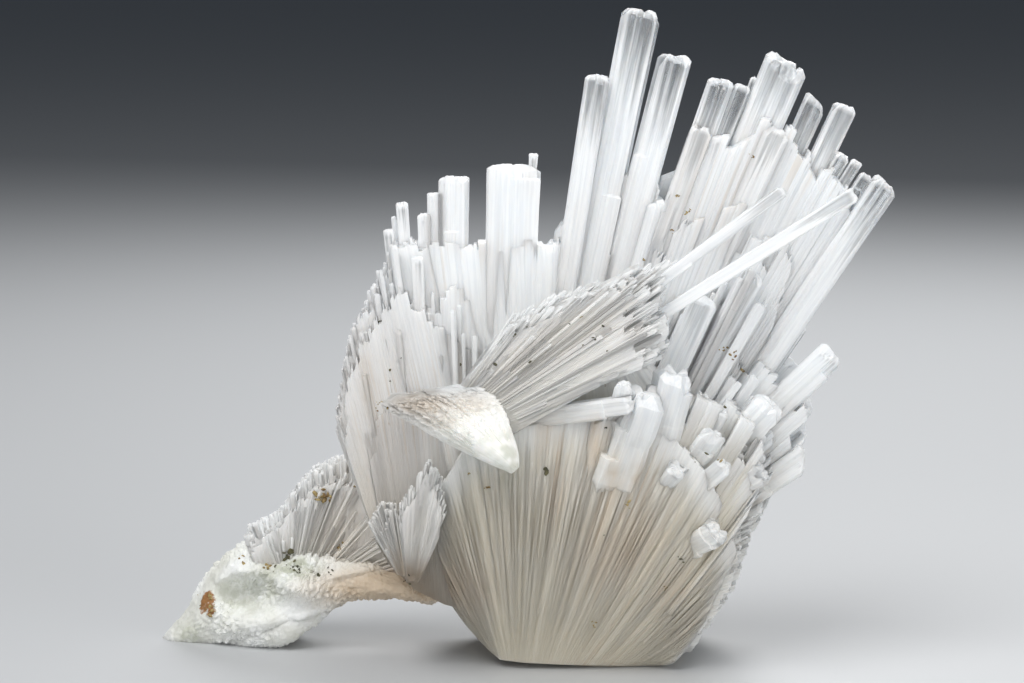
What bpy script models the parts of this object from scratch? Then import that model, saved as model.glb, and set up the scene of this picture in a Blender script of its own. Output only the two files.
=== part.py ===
"""A scolecite specimen: sprays of long prismatic crystals that grew into each other as one solid.

Run with blender --background --python part.py, or from the text editor. Metres, +Z up, +X to the
right and -Y towards the viewer. The origin is the middle of the flat face that the main spray
stands on. A second flat face, under the foot spray at the left, stands on the same plane.

The crystals are laid out on a front drawing in millimetres: across from the origin, and up from it.
The drawing is seen as an eye sees the specimen, from VIEW_DISTANCE away and a little above it, so
that lifted() can carry a drawn point to the depth at which it lies.
"""

import math
import random
from collections import namedtuple

import bmesh
import bpy
from mathutils import Matrix, Vector

MM = 0.001

# The eye that the front drawing belongs to
VIEW_DISTANCE = 700.0
VIEW_TILT = math.radians(8.0)
DRAWING_CENTRE = (-14.6, 62.9)

# Habit of the crystals
ROOT_TAPER = 0.72
FLATNESS = 0.72
END_INSET = 0.2
END_RISE = 0.16
FINE_SIDES = 5
PRISM_SIDES = 6
SEED = 21

# The shared core of the main spray, as level ellipses:
# height, centre across, centre in depth, half width, half depth
CORE_TURN = math.radians(-20.0)
CORE_POINTS = 14
CORE_SECTIONS = (
    (-1.5, 0.5, 0.0, 17.5, 12.0),
    (8.0, 1.0, 0.0, 21.0, 14.5),
    (20.0, 0.0, 0.0, 25.0, 15.0),
    (34.0, -1.0, 0.0, 28.0, 15.0),
    (52.0, 1.0, 0.0, 28.0, 10.0),
    (74.0, 6.0, 2.0, 22.0, 4.0),
)

# The massive root of the foot spray, as blocky lumps: each is the hull of its outline, drawn at a
# near depth and again, a little smaller, at a far one
Lump = namedtuple("Lump", "name near far shrink outline")
LUMPS = (
    Lump(
        "foot_beak",
        5.0,
        27.0,
        0.82,
        ((-84, 2.6), (-81, 0.4), (-73, 0.2), (-63, 0.6), (-57, 4.0), (-51.6, 8.4),
         (-53, 12), (-60, 20), (-66, 22.5), (-74, 18), (-79, 10)),
    ),
    Lump(
        "foot_limb",
        4.0,
        26.0,
        0.8,
        ((-70, 21), (-62, 27), (-57, 33), (-50, 37.5), (-40, 34), (-34, 26), (-29, 18),
         (-27, 12.5), (-34, 11.8), (-46, 12), (-56, 10), (-64, 8)),
    ),
    Lump(
        "tusk_root",
        -38.0,
        -12.0,
        0.74,
        ((-13.2, 36.6), (-19, 38.4), (-28, 43.4), (-35.6, 49), (-36.6, 51), (-30, 51.6),
         (-21, 51.4), (-16.6, 48), (-13.6, 41)),
    ),
    Lump(
        "fan_root",
        -23.4,
        -8.0,
        0.85,
        ((-26, 51), (-20, 59), (-12, 66), (2, 69), (11, 66), (10, 59), (-3, 52), (-16, 45)),
    ),
    Lump(
        "block_bed",
        -21.0,
        -4.0,
        0.8,
        ((0, 26), (-4, 40), (8, 48), (22, 46), (30, 38), (27, 27), (14, 20)),
    ),
)

# A crystal that stands out by itself. Root and tip are places on the front drawing, depths are
# those of the root and the tip, and lean is how steeply its end rises to the right.
Crystal = namedtuple("Crystal", "name root tip depths width lean")
CRYSTALS = (
    # The three tall crystals at the top
    Crystal("tall_left", (-15, 3), (2.4, 116.4), (-1, -2), 4.4, 0.0),
    Crystal("tall_middle", (-14, 3), (12.0, 129.4), (0, 2), 8.4, 0.0),
    Crystal("tall_right", (-13, 3), (18.0, 120.0), (0, 1), 6.2, 0.1),
    # The upright slabs left of them
    Crystal("slab_middle", (-17, 6), (-14.2, 98.4), (-2, 0), 10.4, 0.0),
    Crystal("slab_bud", (-10.8, 92), (-10.4, 100.6), (0, 0), 1.9, 0.0),
    Crystal("slab_left", (-27, 12), (-26.2, 96.0), (0, 2), 5.4, 0.0),
    Crystal("slab_left_step", (-29, 12), (-30.0, 92.8), (0, 1), 3.0, 0.0),
    Crystal("slab_left_low", (-30, 12), (-32.2, 88.6), (0, 1), 2.6, 0.0),
    Crystal("needle_high", (-31, 14), (-36.6, 90.8), (-1, 0), 2.7, 0.0),
    Crystal("needle_low", (-32, 14), (-39.4, 85.4), (-1, -1), 2.0, 0.0),
    # The thick group at the right of the tall crystals
    Crystal("group_first", (-12, 4), (27.6, 115.4), (0, -1), 5.2, 0.0),
    Crystal("group_second", (-11, 4), (31.8, 114.0), (0, 0), 2.8, 0.0),
    Crystal("group_sliver", (-8, 4), (34.2, 115.8), (4, 4), 2.0, 0.0),
    Crystal("group_thick", (-8, 4), (40.2, 119.4), (0, 2), 9.4, -0.1),
    Crystal("group_round", (-2, 4), (46.2, 111.0), (1, 3), 4.6, -0.3),
    Crystal("group_flat", (2, 4), (52.4, 110.2), (0, 2), 4.6, 0.1),
    Crystal("group_front", (-13, 4), (23.6, 105.8), (-4, -8), 5.0, 0.0),
    Crystal("group_ledge", (-8, 4), (38.6, 105.6), (-4, -8), 5.4, 0.0),
    Crystal("comb_first", (-8, 4), (51.8, 100.4), (0, 0), 3.0, 0.0),
    Crystal("comb_second", (-6, 4), (54.6, 99.0), (0, 0), 2.4, 0.0),
    Crystal("comb_third", (-4, 4), (56.6, 96.4), (0, -1), 2.6, 0.0),
    Crystal("edge_long", (-1, 4), (60.4, 94.8), (-2, -4), 5.4, -0.1),
    Crystal("edge_hidden", (4, 8), (43.4, 66.2), (0, 2), 3.0, 0.0),
    Crystal("wall_round", (-5, 6), (34.2, 77.0), (-8, -14), 4.4, 0.0),
    Crystal("wall_short", (-6, 6), (24.0, 72.0), (-10, -17), 6.0, 0.0),
    # The low spray at the right
    Crystal("low_behind", (-6, 6), (42.2, 59.0), (2, 6), 5.6, 0.0),
    Crystal("low_long", (-8, 8), (49.8, 60.6), (-3, -6), 5.6, -0.1),
    Crystal("low_under", (0, 8), (45.2, 51.0), (-2, -2), 4.0, -0.3),
    Crystal("low_blade", (0, 9), (44.2, 45.4), (-2, 0), 3.0, -0.5),
    Crystal("low_wide_blade", (0, 10), (44.0, 39.8), (-6, -8), 5.0, -0.6),
    Crystal("low_short", (2, 10), (35.4, 31.6), (-5, -8), 4.4, -0.3),
    # Blunt crystals that come forward under the fan
    Crystal("block_left", (2, 24), (12.0, 53.2), (-22, -30), 8.6, 0.1),
    Crystal("block_right", (10, 26), (18.6, 57.0), (-18, -25), 8.2, -0.1),
    Crystal("block_small", (4, 46), (8.0, 54.6), (-26, -31), 3.8, 0.0),
    Crystal("block_step", (16, 30), (27.4, 49.4), (-16, -22), 3.6, 0.0),
    Crystal("block_square", (14, 28), (26.2, 44.8), (-17, -25), 5.0, 0.0),
    Crystal("block_rough", (18, 30), (37.8, 50.6), (-10, -16), 6.6, 0.0),
    Crystal("block_low", (14, 26), (28.2, 38.6), (-17, -26), 3.8, 0.0),
    Crystal("block_round", (10, 26), (19.2, 37.4), (-18, -28), 4.6, 0.0),
    Crystal("block_edge", (18, 26), (36.0, 37.2), (-12, -18), 4.2, 0.0),
    Crystal("block_white", (12, 18), (27.0, 25.0), (-14, -24), 5.2, 0.0),
    Crystal("block_bar", (-11, 47.6), (12.6, 51.6), (-26, -33), 3.6, 0.0),
    # The two thin bright crystals of the fan
    Crystal("fan_lance", (-16, 52), (40.0, 93.2), (-24, -15), 2.8, 0.0),
    Crystal("fan_second_lance", (-14, 50), (54.0, 92.4), (-24, -13), 3.2, 0.0),
)

# A sheet of crystals side by side, whose roots and tips follow two drawn lines. Start is the share
# of the way from root line to tip at which the crystals begin, inside what they grew from.
Sheet = namedtuple("Sheet", "name roots tips depths count width start")
SHEETS = (
    Sheet(
        "wall",
        ((-29, 13), (-23, 8), (-19, 6), (-15, 4), (-9, 4), (-3, 4), (-1, 5)),
        ((-36, 83.8), (-26, 83.4), (-15, 84), (-3, 84.6), (9, 92.2), (17, 93.6), (32, 99),
         (44, 103), (50, 97), (56.4, 91)),
        (0, 1),
        17,
        8.4,
        0.3,
    ),
    Sheet(
        "left_needles",
        ((-42, 24), (-39, 19), (-35, 17), (-31, 15), (-28, 14)),
        ((-49.6, 46), (-49.2, 54), (-47.6, 64), (-44.4, 71), (-41.4, 77.2), (-38.5, 84)),
        (-3, -2),
        13,
        3.4,
        0.3,
    ),
    Sheet(
        "left_front",
        ((-40, 21), (-36, 17), (-32, 14), (-26, 12), (-22, 10)),
        ((-46.5, 51), (-43, 62), (-38, 70), (-31, 74), (-24, 72)),
        (-9, -12),
        9,
        5.2,
        0.1,
    ),
    Sheet(
        "left_back",
        ((-38, 22), (-34, 17), (-30, 14), (-24, 10), (-18, 8)),
        ((-46, 52), (-43, 62), (-37, 73), (-29, 80), (-18, 80)),
        (6, 12),
        7,
        7.0,
        0.3,
    ),
    Sheet(
        "back_fan",
        ((-20, 8), (-12, 5), (-4, 5), (2, 5)),
        ((-14, 82), (2, 96), (20, 98), (36, 94), (42, 84), (40, 66)),
        (7, 15),
        9,
        9.4,
        0.3,
    ),
    Sheet(
        "back_low",
        ((-17, 0), (-8, 0), (4, 0), (14, 0)),
        ((-32, 36), (-20, 58), (0, 68), (20, 64), (34, 48), (32, 22)),
        (10, 26),
        9,
        10.4,
        0.0,
    ),
    Sheet(
        "front_low",
        ((-17, 2), (-10, 1), (0, 0.4), (9, 0), (16, -0.4)),
        ((-29, 30), (-25, 43), (-14, 47), (0, 46), (14, 43), (25, 38), (32, 29)),
        (-11, -23),
        10,
        9.8,
        0.0,
    ),
    Sheet(
        "right_edge",
        ((-2, 8), (-2, 7), (0, 5), (2, 3), (5, 1)),
        ((36, 29), (32.6, 23.4), (31.2, 18.5), (28.4, 11.6), (24.6, 6.4), (20.6, 0.8)),
        (-6, -7),
        8,
        5.0,
        0.3,
    ),
    Sheet(
        "right_back",
        ((0, 12), (0, 9), (0, 6), (2, 4)),
        ((36, 50), (36, 38), (32, 24), (24, 8)),
        (2, 12),
        5,
        7.4,
        0.3,
    ),
    Sheet(
        "right_wall",
        ((-4, 6), (-2, 7), (0, 8), (2, 9)),
        ((22, 84), (36, 84), (41, 74), (36, 60)),
        (-6, -9),
        6,
        6.6,
        0.3,
    ),
    Sheet(
        "fan_top",
        ((-26, 51), (-22, 49), (-18, 47)),
        ((-13, 69.5), (-5, 73), (3, 75.6), (11, 77.6), (19, 80)),
        (-23, -18),
        8,
        3.6,
        0.1,
    ),
    Sheet(
        "fan_middle",
        ((-25, 50.6), (-21, 48.6), (-18, 47)),
        ((-12, 66), (-3, 69.4), (6, 70), (11, 66), (8, 60)),
        (-25, -24),
        8,
        4.0,
        0.0,
    ),
    Sheet(
        "fan_front",
        ((-22, 49), (-18, 46.6), (-15, 45)),
        ((6, 72), (15.6, 69), (16.4, 65.4), (16.8, 61), (8, 56.6)),
        (-28, -26),
        8,
        3.6,
        0.1,
    ),
    Sheet(
        "tusk",
        ((-15, 38.8), (-14.4, 38.6), (-13.8, 38.6)),
        ((-40.2, 51.9), (-36, 53.4), (-30, 53.8), (-24, 53.6), (-19, 52.4), (-16.2, 50)),
        (-33, -36),
        8,
        4.0,
        0.1,
    ),
    Sheet(
        "tuft",
        ((-35.2, 16), (-34.2, 16)),
        ((-38.2, 33), (-35, 36), (-31, 40.6), (-28.6, 35), (-27.2, 26)),
        (-16, -21),
        6,
        3.2,
        0.0,
    ),
    Sheet(
        "side_tuft",
        ((-37, 17), (-36, 17)),
        ((-43.4, 27), (-41, 31), (-38, 31)),
        (-10, -13),
        3,
        3.2,
        0.0,
    ),
    Sheet(
        "foot_ridge",
        ((-61, 13), (-56, 13), (-50, 14), (-44, 16)),
        ((-66.8, 26.8), (-61, 30), (-57.4, 35), (-53.8, 38.8), (-48.6, 41), (-42, 40)),
        (13, 12),
        9,
        3.8,
        0.2,
    ),
    Sheet(
        "foot_front",
        ((-62, 12), (-54, 13), (-46, 14)),
        ((-64, 23.6), (-56, 31), (-49, 36), (-40, 34), (-33, 25), (-31, 17)),
        (6, 3),
        8,
        4.4,
        0.1,
    ),
    Sheet(
        "foot_back",
        ((-62, 12), (-54, 13), (-44, 16)),
        ((-68, 24), (-60, 33), (-50, 38), (-42, 38)),
        (22, 27),
        6,
        5.8,
        0.0,
    ),
)
LENGTH_SPREAD = 0.03
WIDTH_SPREAD = 0.18
DEPTH_SPREAD = 0.6
TURN_SPREAD = math.radians(24.0)

TABLE_CUT = (260.0, 160.0, 40.0)
MILKY_WHITE = (0.80, 0.80, 0.76, 1.0)
CRYSTAL_ROUGHNESS = 0.35


def lifted(place, depth):
    """The point at this depth behind the origin that the front drawing shows at this place."""
    right = Vector((1, 0, 0))
    up = Vector((0, math.sin(VIEW_TILT), math.cos(VIEW_TILT)))
    ahead = Vector((0, math.cos(VIEW_TILT), -math.sin(VIEW_TILT)))
    eye = right * DRAWING_CENTRE[0] + up * DRAWING_CENTRE[1] - ahead * VIEW_DISTANCE
    drawn = right * place[0] + up * place[1]
    share = (depth - eye.y) / (drawn.y - eye.y)
    return (eye + (drawn - eye) * share) * MM


def along(line, share):
    """The place at this share of a drawn line, corner by corner."""
    step = share * (len(line) - 1)
    index = min(int(step), len(line) - 2)
    rest = step - index
    start, end = line[index], line[index + 1]
    return tuple(start[k] + (end[k] - start[k]) * rest for k in range(2))


def clear_scene():
    for obj in list(bpy.data.objects):
        bpy.data.objects.remove(obj, do_unlink=True)


def collection_named(name):
    made = bpy.data.collections.new(name)
    bpy.context.scene.collection.children.link(made)
    return made


def object_from(bm, name, collection, helper=True):
    """The bmesh as a named object. A helper only lends its shape, so it isn't rendered."""
    mesh = bpy.data.meshes.new(name)
    bm.to_mesh(mesh)
    bm.free()
    obj = bpy.data.objects.new(name, mesh)
    collection.objects.link(obj)
    if helper:
        obj.hide_render = True
        obj.display_type = "WIRE"
    return obj


def crystal(name, root, tip, width, sides, turn, lean, collection):
    """A prism from root to tip whose blunt end has a low bevelled rim."""
    axis = tip - root
    bm = bmesh.new()
    bmesh.ops.create_cone(
        bm,
        cap_ends=True,
        segments=sides,
        radius1=0.5 * ROOT_TAPER,
        radius2=0.5,
        depth=axis.length,
    )
    width = width * MM
    bmesh.ops.scale(bm, vec=(width, width * FLATNESS, 1.0), verts=bm.verts)
    end = max(bm.faces, key=lambda face: face.calc_center_median().z)
    bmesh.ops.inset_region(
        bm, faces=[end], thickness=END_INSET * width, depth=END_RISE * width
    )
    half = axis.length / 2
    for vert in bm.verts:
        if vert.co.z > 0:
            vert.co.z += lean * vert.co.x - END_RISE * width
        vert.co.z += half
    across = Vector((0, 1, 0)).cross(axis).normalized()
    forward = axis.cross(across).normalized()
    frame = Matrix((across, forward, axis.normalized())).transposed().to_4x4()
    place = Matrix.Translation(root) @ frame @ Matrix.Rotation(turn, 4, "Z")
    bmesh.ops.transform(bm, matrix=place, verts=bm.verts)
    return object_from(bm, name, collection)


def hull(name, points, collection, helper=True):
    bm = bmesh.new()
    for point in points:
        bm.verts.new(point)
    made = bmesh.ops.convex_hull(bm, input=bm.verts)
    unused = {v for v in made["geom_interior"] if isinstance(v, bmesh.types.BMVert)}
    bmesh.ops.delete(bm, geom=list(unused), context="VERTS")
    bmesh.ops.recalc_face_normals(bm, faces=bm.faces)
    return object_from(bm, name, collection, helper)


def core(collection):
    """The solid middle of the main spray, which widens upwards from its flat base."""
    points = []
    for height, across, depth, half_width, half_depth in CORE_SECTIONS:
        for step in range(CORE_POINTS):
            angle = 2 * math.pi * step / CORE_POINTS
            x, y = half_width * math.cos(angle), half_depth * math.sin(angle)
            points.append(
                Vector(
                    (
                        across + x * math.cos(CORE_TURN) - y * math.sin(CORE_TURN),
                        depth + x * math.sin(CORE_TURN) + y * math.cos(CORE_TURN),
                        height,
                    )
                )
                * MM
            )
    return hull("scolecite_cluster", points, collection, helper=False)


def lump(shape, collection):
    across = sum(place[0] for place in shape.outline) / len(shape.outline)
    up = sum(place[1] for place in shape.outline) / len(shape.outline)
    points = []
    for place in shape.outline:
        drawn_in = (
            across + (place[0] - across) * shape.shrink,
            up + (place[1] - up) * shape.shrink,
        )
        middle = (shape.near + shape.far) / 2
        points.append(lifted(drawn_in, shape.near))
        points.append(lifted(place, middle))
        points.append(lifted(drawn_in, shape.far))
    return hull(shape.name, points, collection)


def lone_crystals(collection, chance):
    for made in CRYSTALS:
        crystal(
            made.name,
            lifted(made.root, made.depths[0]),
            lifted(made.tip, made.depths[1]),
            made.width,
            PRISM_SIDES,
            chance.uniform(-TURN_SPREAD, TURN_SPREAD),
            made.lean,
            collection,
        )


def sheet_of_crystals(sheet, collection, chance):
    for number in range(sheet.count):
        share = (number + 0.5) / sheet.count
        depth = chance.uniform(-DEPTH_SPREAD, DEPTH_SPREAD)
        foot = lifted(along(sheet.roots, share), sheet.depths[0] + depth)
        tip = lifted(along(sheet.tips, share), sheet.depths[1] + depth)
        tip = foot + (tip - foot) * (1 + chance.uniform(-LENGTH_SPREAD, LENGTH_SPREAD))
        root = foot.lerp(tip, sheet.start)
        width = sheet.width * (1 + chance.uniform(-WIDTH_SPREAD, WIDTH_SPREAD))
        turn = chance.uniform(-TURN_SPREAD, TURN_SPREAD)
        name = f"{sheet.name}_{number + 1}"
        crystal(name, root, tip, width, FINE_SIDES, turn, 0.0, collection)


def table_cutter(collection):
    """A block whose top is the plane that the specimen stands on."""
    bm = bmesh.new()
    bmesh.ops.create_cube(bm, size=1.0)
    bmesh.ops.scale(bm, vec=[side * MM for side in TABLE_CUT], verts=bm.verts)
    bmesh.ops.translate(bm, vec=(0, 0, -TABLE_CUT[2] / 2 * MM), verts=bm.verts)
    return object_from(bm, "table_cutter", collection)


def crystal_material():
    material = bpy.data.materials.new("scolecite")
    material.use_nodes = True
    shader = material.node_tree.nodes["Principled BSDF"]
    shader.inputs["Base Color"].default_value = MILKY_WHITE
    shader.inputs["Roughness"].default_value = CRYSTAL_ROUGHNESS
    shader.inputs["Metallic"].default_value = 0.0
    return material


def main():
    clear_scene()
    specimen = collection_named("scolecite_specimen")
    grown_in = collection_named("grown_in")
    cutters = collection_named("cutters")
    chance = random.Random(SEED)

    cluster = core(specimen)
    for shape in LUMPS:
        lump(shape, grown_in)
    lone_crystals(grown_in, chance)
    for sheet in SHEETS:
        sheet_of_crystals(sheet, grown_in, chance)

    fused = cluster.modifiers.new("crystals", "BOOLEAN")
    fused.operation = "UNION"
    fused.operand_type = "COLLECTION"
    fused.collection = grown_in
    cut = cluster.modifiers.new("table", "BOOLEAN")
    cut.operation = "DIFFERENCE"
    cut.object = table_cutter(cutters)
    cluster.data.materials.append(crystal_material())


main()
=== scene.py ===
# %% [markdown]
# # A scolecite specimen
#
# Scolecite grows as long glassy prisms that spread in sprays from a shared root. Here several sprays
# have grown into each other. The upper crystals are clear near their ends and milky below, and the
# lower left foot has gone chalky.
#
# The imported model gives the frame: its box, its flat base and where each spray stands. Everything
# below is built on that frame, in millimetres on a front drawing, and turned into metres at the end.

# %% Load the frame
import math
import random
from collections import namedtuple

import bmesh
import bpy
import numpy as np
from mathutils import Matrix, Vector, noise


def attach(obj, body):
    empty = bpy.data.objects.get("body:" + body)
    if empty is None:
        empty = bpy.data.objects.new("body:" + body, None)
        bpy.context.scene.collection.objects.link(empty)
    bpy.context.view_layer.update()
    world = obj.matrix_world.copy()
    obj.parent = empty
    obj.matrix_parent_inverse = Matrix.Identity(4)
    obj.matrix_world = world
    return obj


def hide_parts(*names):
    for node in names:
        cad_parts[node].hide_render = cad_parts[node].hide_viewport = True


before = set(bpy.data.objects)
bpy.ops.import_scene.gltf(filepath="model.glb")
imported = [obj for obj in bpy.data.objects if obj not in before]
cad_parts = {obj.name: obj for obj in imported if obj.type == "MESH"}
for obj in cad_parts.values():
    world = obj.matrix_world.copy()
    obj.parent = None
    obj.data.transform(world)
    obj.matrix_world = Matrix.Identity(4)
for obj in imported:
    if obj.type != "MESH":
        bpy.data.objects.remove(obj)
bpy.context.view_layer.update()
CLUSTER = "scolecite_cluster"
MM = 0.001

# %% [markdown]
# ## The camera and the front drawing
#
# The specimen is seen a little from above by a long lens. The same view is used as a drawing board:
# a place on it is millimetres across from the origin and up from it, and a depth behind the origin
# says where along the line of sight the point lies. A crystal that is drawn this way covers the same
# part of the picture at any depth, so its depth is free to be what the sprays need.

# %% Set up the view
VIEW_DISTANCE = 700.0
VIEW_TILT = math.radians(8.0)
DRAWING_CENTRE = (-14.6, 62.9)
PIXEL = 0.2
FRAME_WIDTH = 1024
SENSOR = 36.0

RIGHT = np.array((1.0, 0.0, 0.0))
UP = np.array((0.0, math.sin(VIEW_TILT), math.cos(VIEW_TILT)))
AHEAD = np.array((0.0, math.cos(VIEW_TILT), -math.sin(VIEW_TILT)))
EYE = RIGHT * DRAWING_CENTRE[0] + UP * DRAWING_CENTRE[1] - AHEAD * VIEW_DISTANCE


def lifted(place, depth):
    """The point, in millimetres, at this depth behind the origin that is seen at this place."""
    drawn = RIGHT * place[0] + UP * place[1]
    share = (depth - EYE[1]) / (drawn[1] - EYE[1])
    return EYE + (drawn - EYE) * share


def drawn_places(points):
    """Where points, in millimetres, are seen on the drawing."""
    steps = points - EYE
    seen = EYE + steps * (VIEW_DISTANCE / (steps @ AHEAD))[:, None]
    return np.column_stack([seen @ RIGHT, seen @ UP])


def add_camera():
    camera = bpy.data.objects.new("camera", bpy.data.cameras.new("camera"))
    bpy.context.scene.collection.objects.link(camera)
    camera.data.sensor_width = SENSOR
    camera.data.lens = SENSOR * VIEW_DISTANCE / (FRAME_WIDTH * PIXEL)
    camera.data.clip_end = 20.0
    camera.location = Vector(EYE * MM)
    camera.rotation_mode = "QUATERNION"
    camera.rotation_quaternion = Vector(AHEAD).to_track_quat("-Z", "Y")
    bpy.context.scene.camera = camera
    return camera


camera = add_camera()
print("lens:", round(camera.data.lens, 1), "mm")

# %% [markdown]
# ## Light and floor
#
# One wide soft light from above and the left draws the facets, a weak one from the right fills the
# shadows, and a small one behind lets the clear crystals glow. The pale floor falls away into shade
# behind the specimen, which keeps the white crystals readable.

# %% Light the studio
LAMPS = (
    # name, place in metres, size in metres, watts
    ("key_softbox", (-0.28, -0.38, 0.80), 0.60, 6.6),
    ("fill_softbox", (0.65, -0.55, 0.30), 0.60, 3.0),
    ("front_softbox", (-0.20, -1.05, 0.28), 0.90, 4.8),
    ("back_softbox", (0.15, 0.55, 0.55), 0.45, 4.0),
)
AIM = Vector((-0.01, 0.0, 0.06))
SKY = (0.045, 0.052, 0.062, 1.0)
FLOOR_HALF = 4.0
FLOOR_COLOUR = (0.52, 0.53, 0.54, 1.0)


def add_lamp(name, place, size, power):
    lamp = bpy.data.objects.new(name, bpy.data.lights.new(name, "AREA"))
    lamp.data.energy = power
    lamp.data.size = size
    lamp.location = place
    lamp.rotation_mode = "QUATERNION"
    lamp.rotation_quaternion = (AIM - lamp.location).to_track_quat("-Z", "Y")
    bpy.context.scene.collection.objects.link(lamp)


for lamp in LAMPS:
    add_lamp(*lamp)

world = bpy.data.worlds.new("studio")
world.use_nodes = True
world.node_tree.nodes["Background"].inputs["Color"].default_value = SKY
world.node_tree.nodes["Background"].inputs["Strength"].default_value = 1.0
bpy.context.scene.world = world
bpy.context.scene.view_settings.view_transform = "Standard"
print("lamps:", len(LAMPS))

# %% [markdown]
# ## Shader maths as plain expressions
#
# Every finish below is a sum of masks. Wrapping a socket in a small class lets a mask be written as
# an expression, and each operator adds its Math node. Adding the nodes one by one would work as well,
# but a sum in words is easier to read and to change.

# %% Wrap a number socket


class Value:
    """A number socket that can be used in a sum."""

    def __init__(self, shader, socket):
        self.shader = shader
        self.socket = socket

    def maths(self, operation, *others):
        node = self.shader.node("Math", {"operation": operation}, dict(enumerate((self,) + others)))
        return Value(self.shader, node.outputs[0])

    def __add__(self, other):
        return self.maths("ADD", other)

    __radd__ = __add__

    def __mul__(self, other):
        return self.maths("MULTIPLY", other)

    __rmul__ = __mul__

    def __sub__(self, other):
        return self.maths("SUBTRACT", other)

    def __rsub__(self, other):
        return (self * -1.0) + other

    def kept(self):
        """The value held between 0 and 1."""
        node = self.shader.node("Clamp", {}, {"Value": self})
        return Value(self.shader, node.outputs[0])

    def ramp(self, low, high):
        """0 below low, 1 above high, and smooth between them."""
        settings = {"interpolation_type": "SMOOTHSTEP"}
        sockets = {"Value": self, "From Min": low, "From Max": high}
        node = self.shader.node("MapRange", settings, sockets)
        return Value(self.shader, node.outputs["Result"])


print("sockets can be summed")

# %% [markdown]
# ## Wiring a material
#
# The second helper holds one material. All its nodes come from one method, which takes the kind of
# node, its settings and what goes into its sockets, so that a finish reads from top to bottom.

# %% Wire up a material


class Shader:
    """A material that is being wired up."""

    def __init__(self, name):
        self.material = bpy.data.materials.new(name)
        self.material.use_nodes = True
        self.tree = self.material.node_tree
        self.tree.nodes.clear()
        self.output = self.tree.nodes.new("ShaderNodeOutputMaterial")

    def node(self, kind, settings=None, sockets=None):
        """Any node: its settings are set first, then the values or links of its sockets."""
        node = self.tree.nodes.new("ShaderNode" + kind)
        for key, value in (settings or {}).items():
            setattr(node, key, value)
        for key, value in (sockets or {}).items():
            if isinstance(value, Value):
                value = value.socket
            if isinstance(value, bpy.types.NodeSocket):
                self.tree.links.new(value, node.inputs[key])
            else:
                node.inputs[key].default_value = value
        return node

    def mixed(self, mask, below, above):
        """One colour over another, as much as the mask says."""
        settings = {"data_type": "RGBA"}
        node = self.node("Mix", settings, {0: mask, 6: below, 7: above})
        return node.outputs[2]

    def noise(self, place, scale, detail=3.0, roughness=0.55):
        sockets = {"Vector": place, "Scale": scale, "Detail": detail, "Roughness": roughness}
        return Value(self, self.node("TexNoise", {}, sockets).outputs[0])

    def stretched(self, place, factors):
        settings = {"operation": "MULTIPLY"}
        return self.node("VectorMath", settings, {0: place, 1: factors}).outputs[0]

    def attribute(self, name):
        settings = {"attribute_type": "GEOMETRY", "attribute_name": name}
        return self.node("Attribute", settings).outputs["Vector"]

    def parts(self, vector):
        """The three numbers of a vector."""
        node = self.node("SeparateXYZ", {}, {0: vector})
        return [Value(self, socket) for socket in node.outputs]

    def bump(self, height, strength, distance):
        sockets = {"Height": height, "Strength": strength, "Distance": distance}
        return self.node("Bump", {}, sockets).outputs["Normal"]

    def finished(self, surface):
        self.tree.links.new(surface, self.output.inputs["Surface"])
        return self.material


print("materials can be wired")

# %% [markdown]
# ## The finish of a growing crystal
#
# Each crystal mesh carries vectors at its points. `grain` is the place inside the crystal, in
# millimetres across, through and along it, plus an offset of its own, so that a noise stretched along
# the last axis draws the fine stripes that run the length of a real prism. `growth` holds how far
# the point is below the crystal's end, whether it lies on an edge, and how clear the crystal is.
#
# The colours come first. Rust, moss and tan stains lie over any of the whites, and each crystal also
# carries how strongly they do so at every point.

# %% Choose the colours
SCOLECITE_IOR = 1.51
COOL_WHITE = (0.84, 0.86, 0.87, 1.0)
COOL_SHADE = (0.77, 0.79, 0.81, 1.0)
# The warm tints are the body's brown, darkened further as painted shade for the dimmer light low down.
WARM_WHITE_IN_SHADE = (0.70, 0.66, 0.56, 1.0)
WARM_SHADE = (0.61, 0.56, 0.45, 1.0)
TAN = (0.58, 0.47, 0.35, 1.0)
RUST = (0.30, 0.14, 0.045, 1.0)
MOSS = (0.40, 0.42, 0.31, 1.0)
CREAM_WHITE = (0.96, 0.96, 0.93, 1.0)
CREAM_SHADE = (0.93, 0.92, 0.86, 1.0)
CHALK = (0.88, 0.89, 0.87, 1.0)
CHALK_SHADE = (0.70, 0.70, 0.64, 1.0)
CLEAR_TINT = (0.93, 0.96, 0.98, 1.0)
STRIPE = (1.0, 1.0, 0.035)
LONG_STRIPE = (1.0, 1.0, 0.012)


def with_stains(shader, body, breaks):
    """The body's colour with rust, moss and tan over it, broken up by a noise."""
    rust, moss, tan = shader.parts(shader.attribute("stains"))
    body = shader.mixed((tan * (0.6 + 0.4 * breaks)).kept(), body, TAN)
    body = shader.mixed((moss * breaks.ramp(0.30, 0.62)).kept(), body, MOSS)
    return shader.mixed((rust * 0.8 + breaks * 1.6 - 1.35).ramp(0.0, 0.3), body, RUST)


print("whites from", WARM_SHADE[:3], "to", CREAM_WHITE[:3])

# %% [markdown]
# ## Clear ends and milky bodies
#
# Scolecite is clear at the end that grew last and milky below. A Mix Shader goes from a glassy body
# (plain transmission and the mineral's own IOR of 1.51) to a milky one that lets a little light in.
# One see-through material with a cloudy volume would also do it, but it takes far longer to render.
#
# The milky body is warmer and darker near the ground. This is partly the mineral's own brown tint and
# partly painted shade for the light that falls off low down. Within a few millimetres of each end it
# keeps the cool whites, as painted cold light on the tips. Stripes run the length of the crystal, and
# the last millimetre or two below a crown is frosted.

# %% Make the crystal finish
SHADED_WARM_BELOW = 18.0
COOL_ABOVE = 62.0
WARM_EDGE = 40.0
TIP_COLD_LIGHT = (0.5, 9.0)
FROST_REACH = (0.2, 1.8)
GROOVE_DEPTH = 0.00022
MILK_GLOW = (0.0045, 0.005, 0.0055)
LEAST_MILK = 0.12


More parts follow.
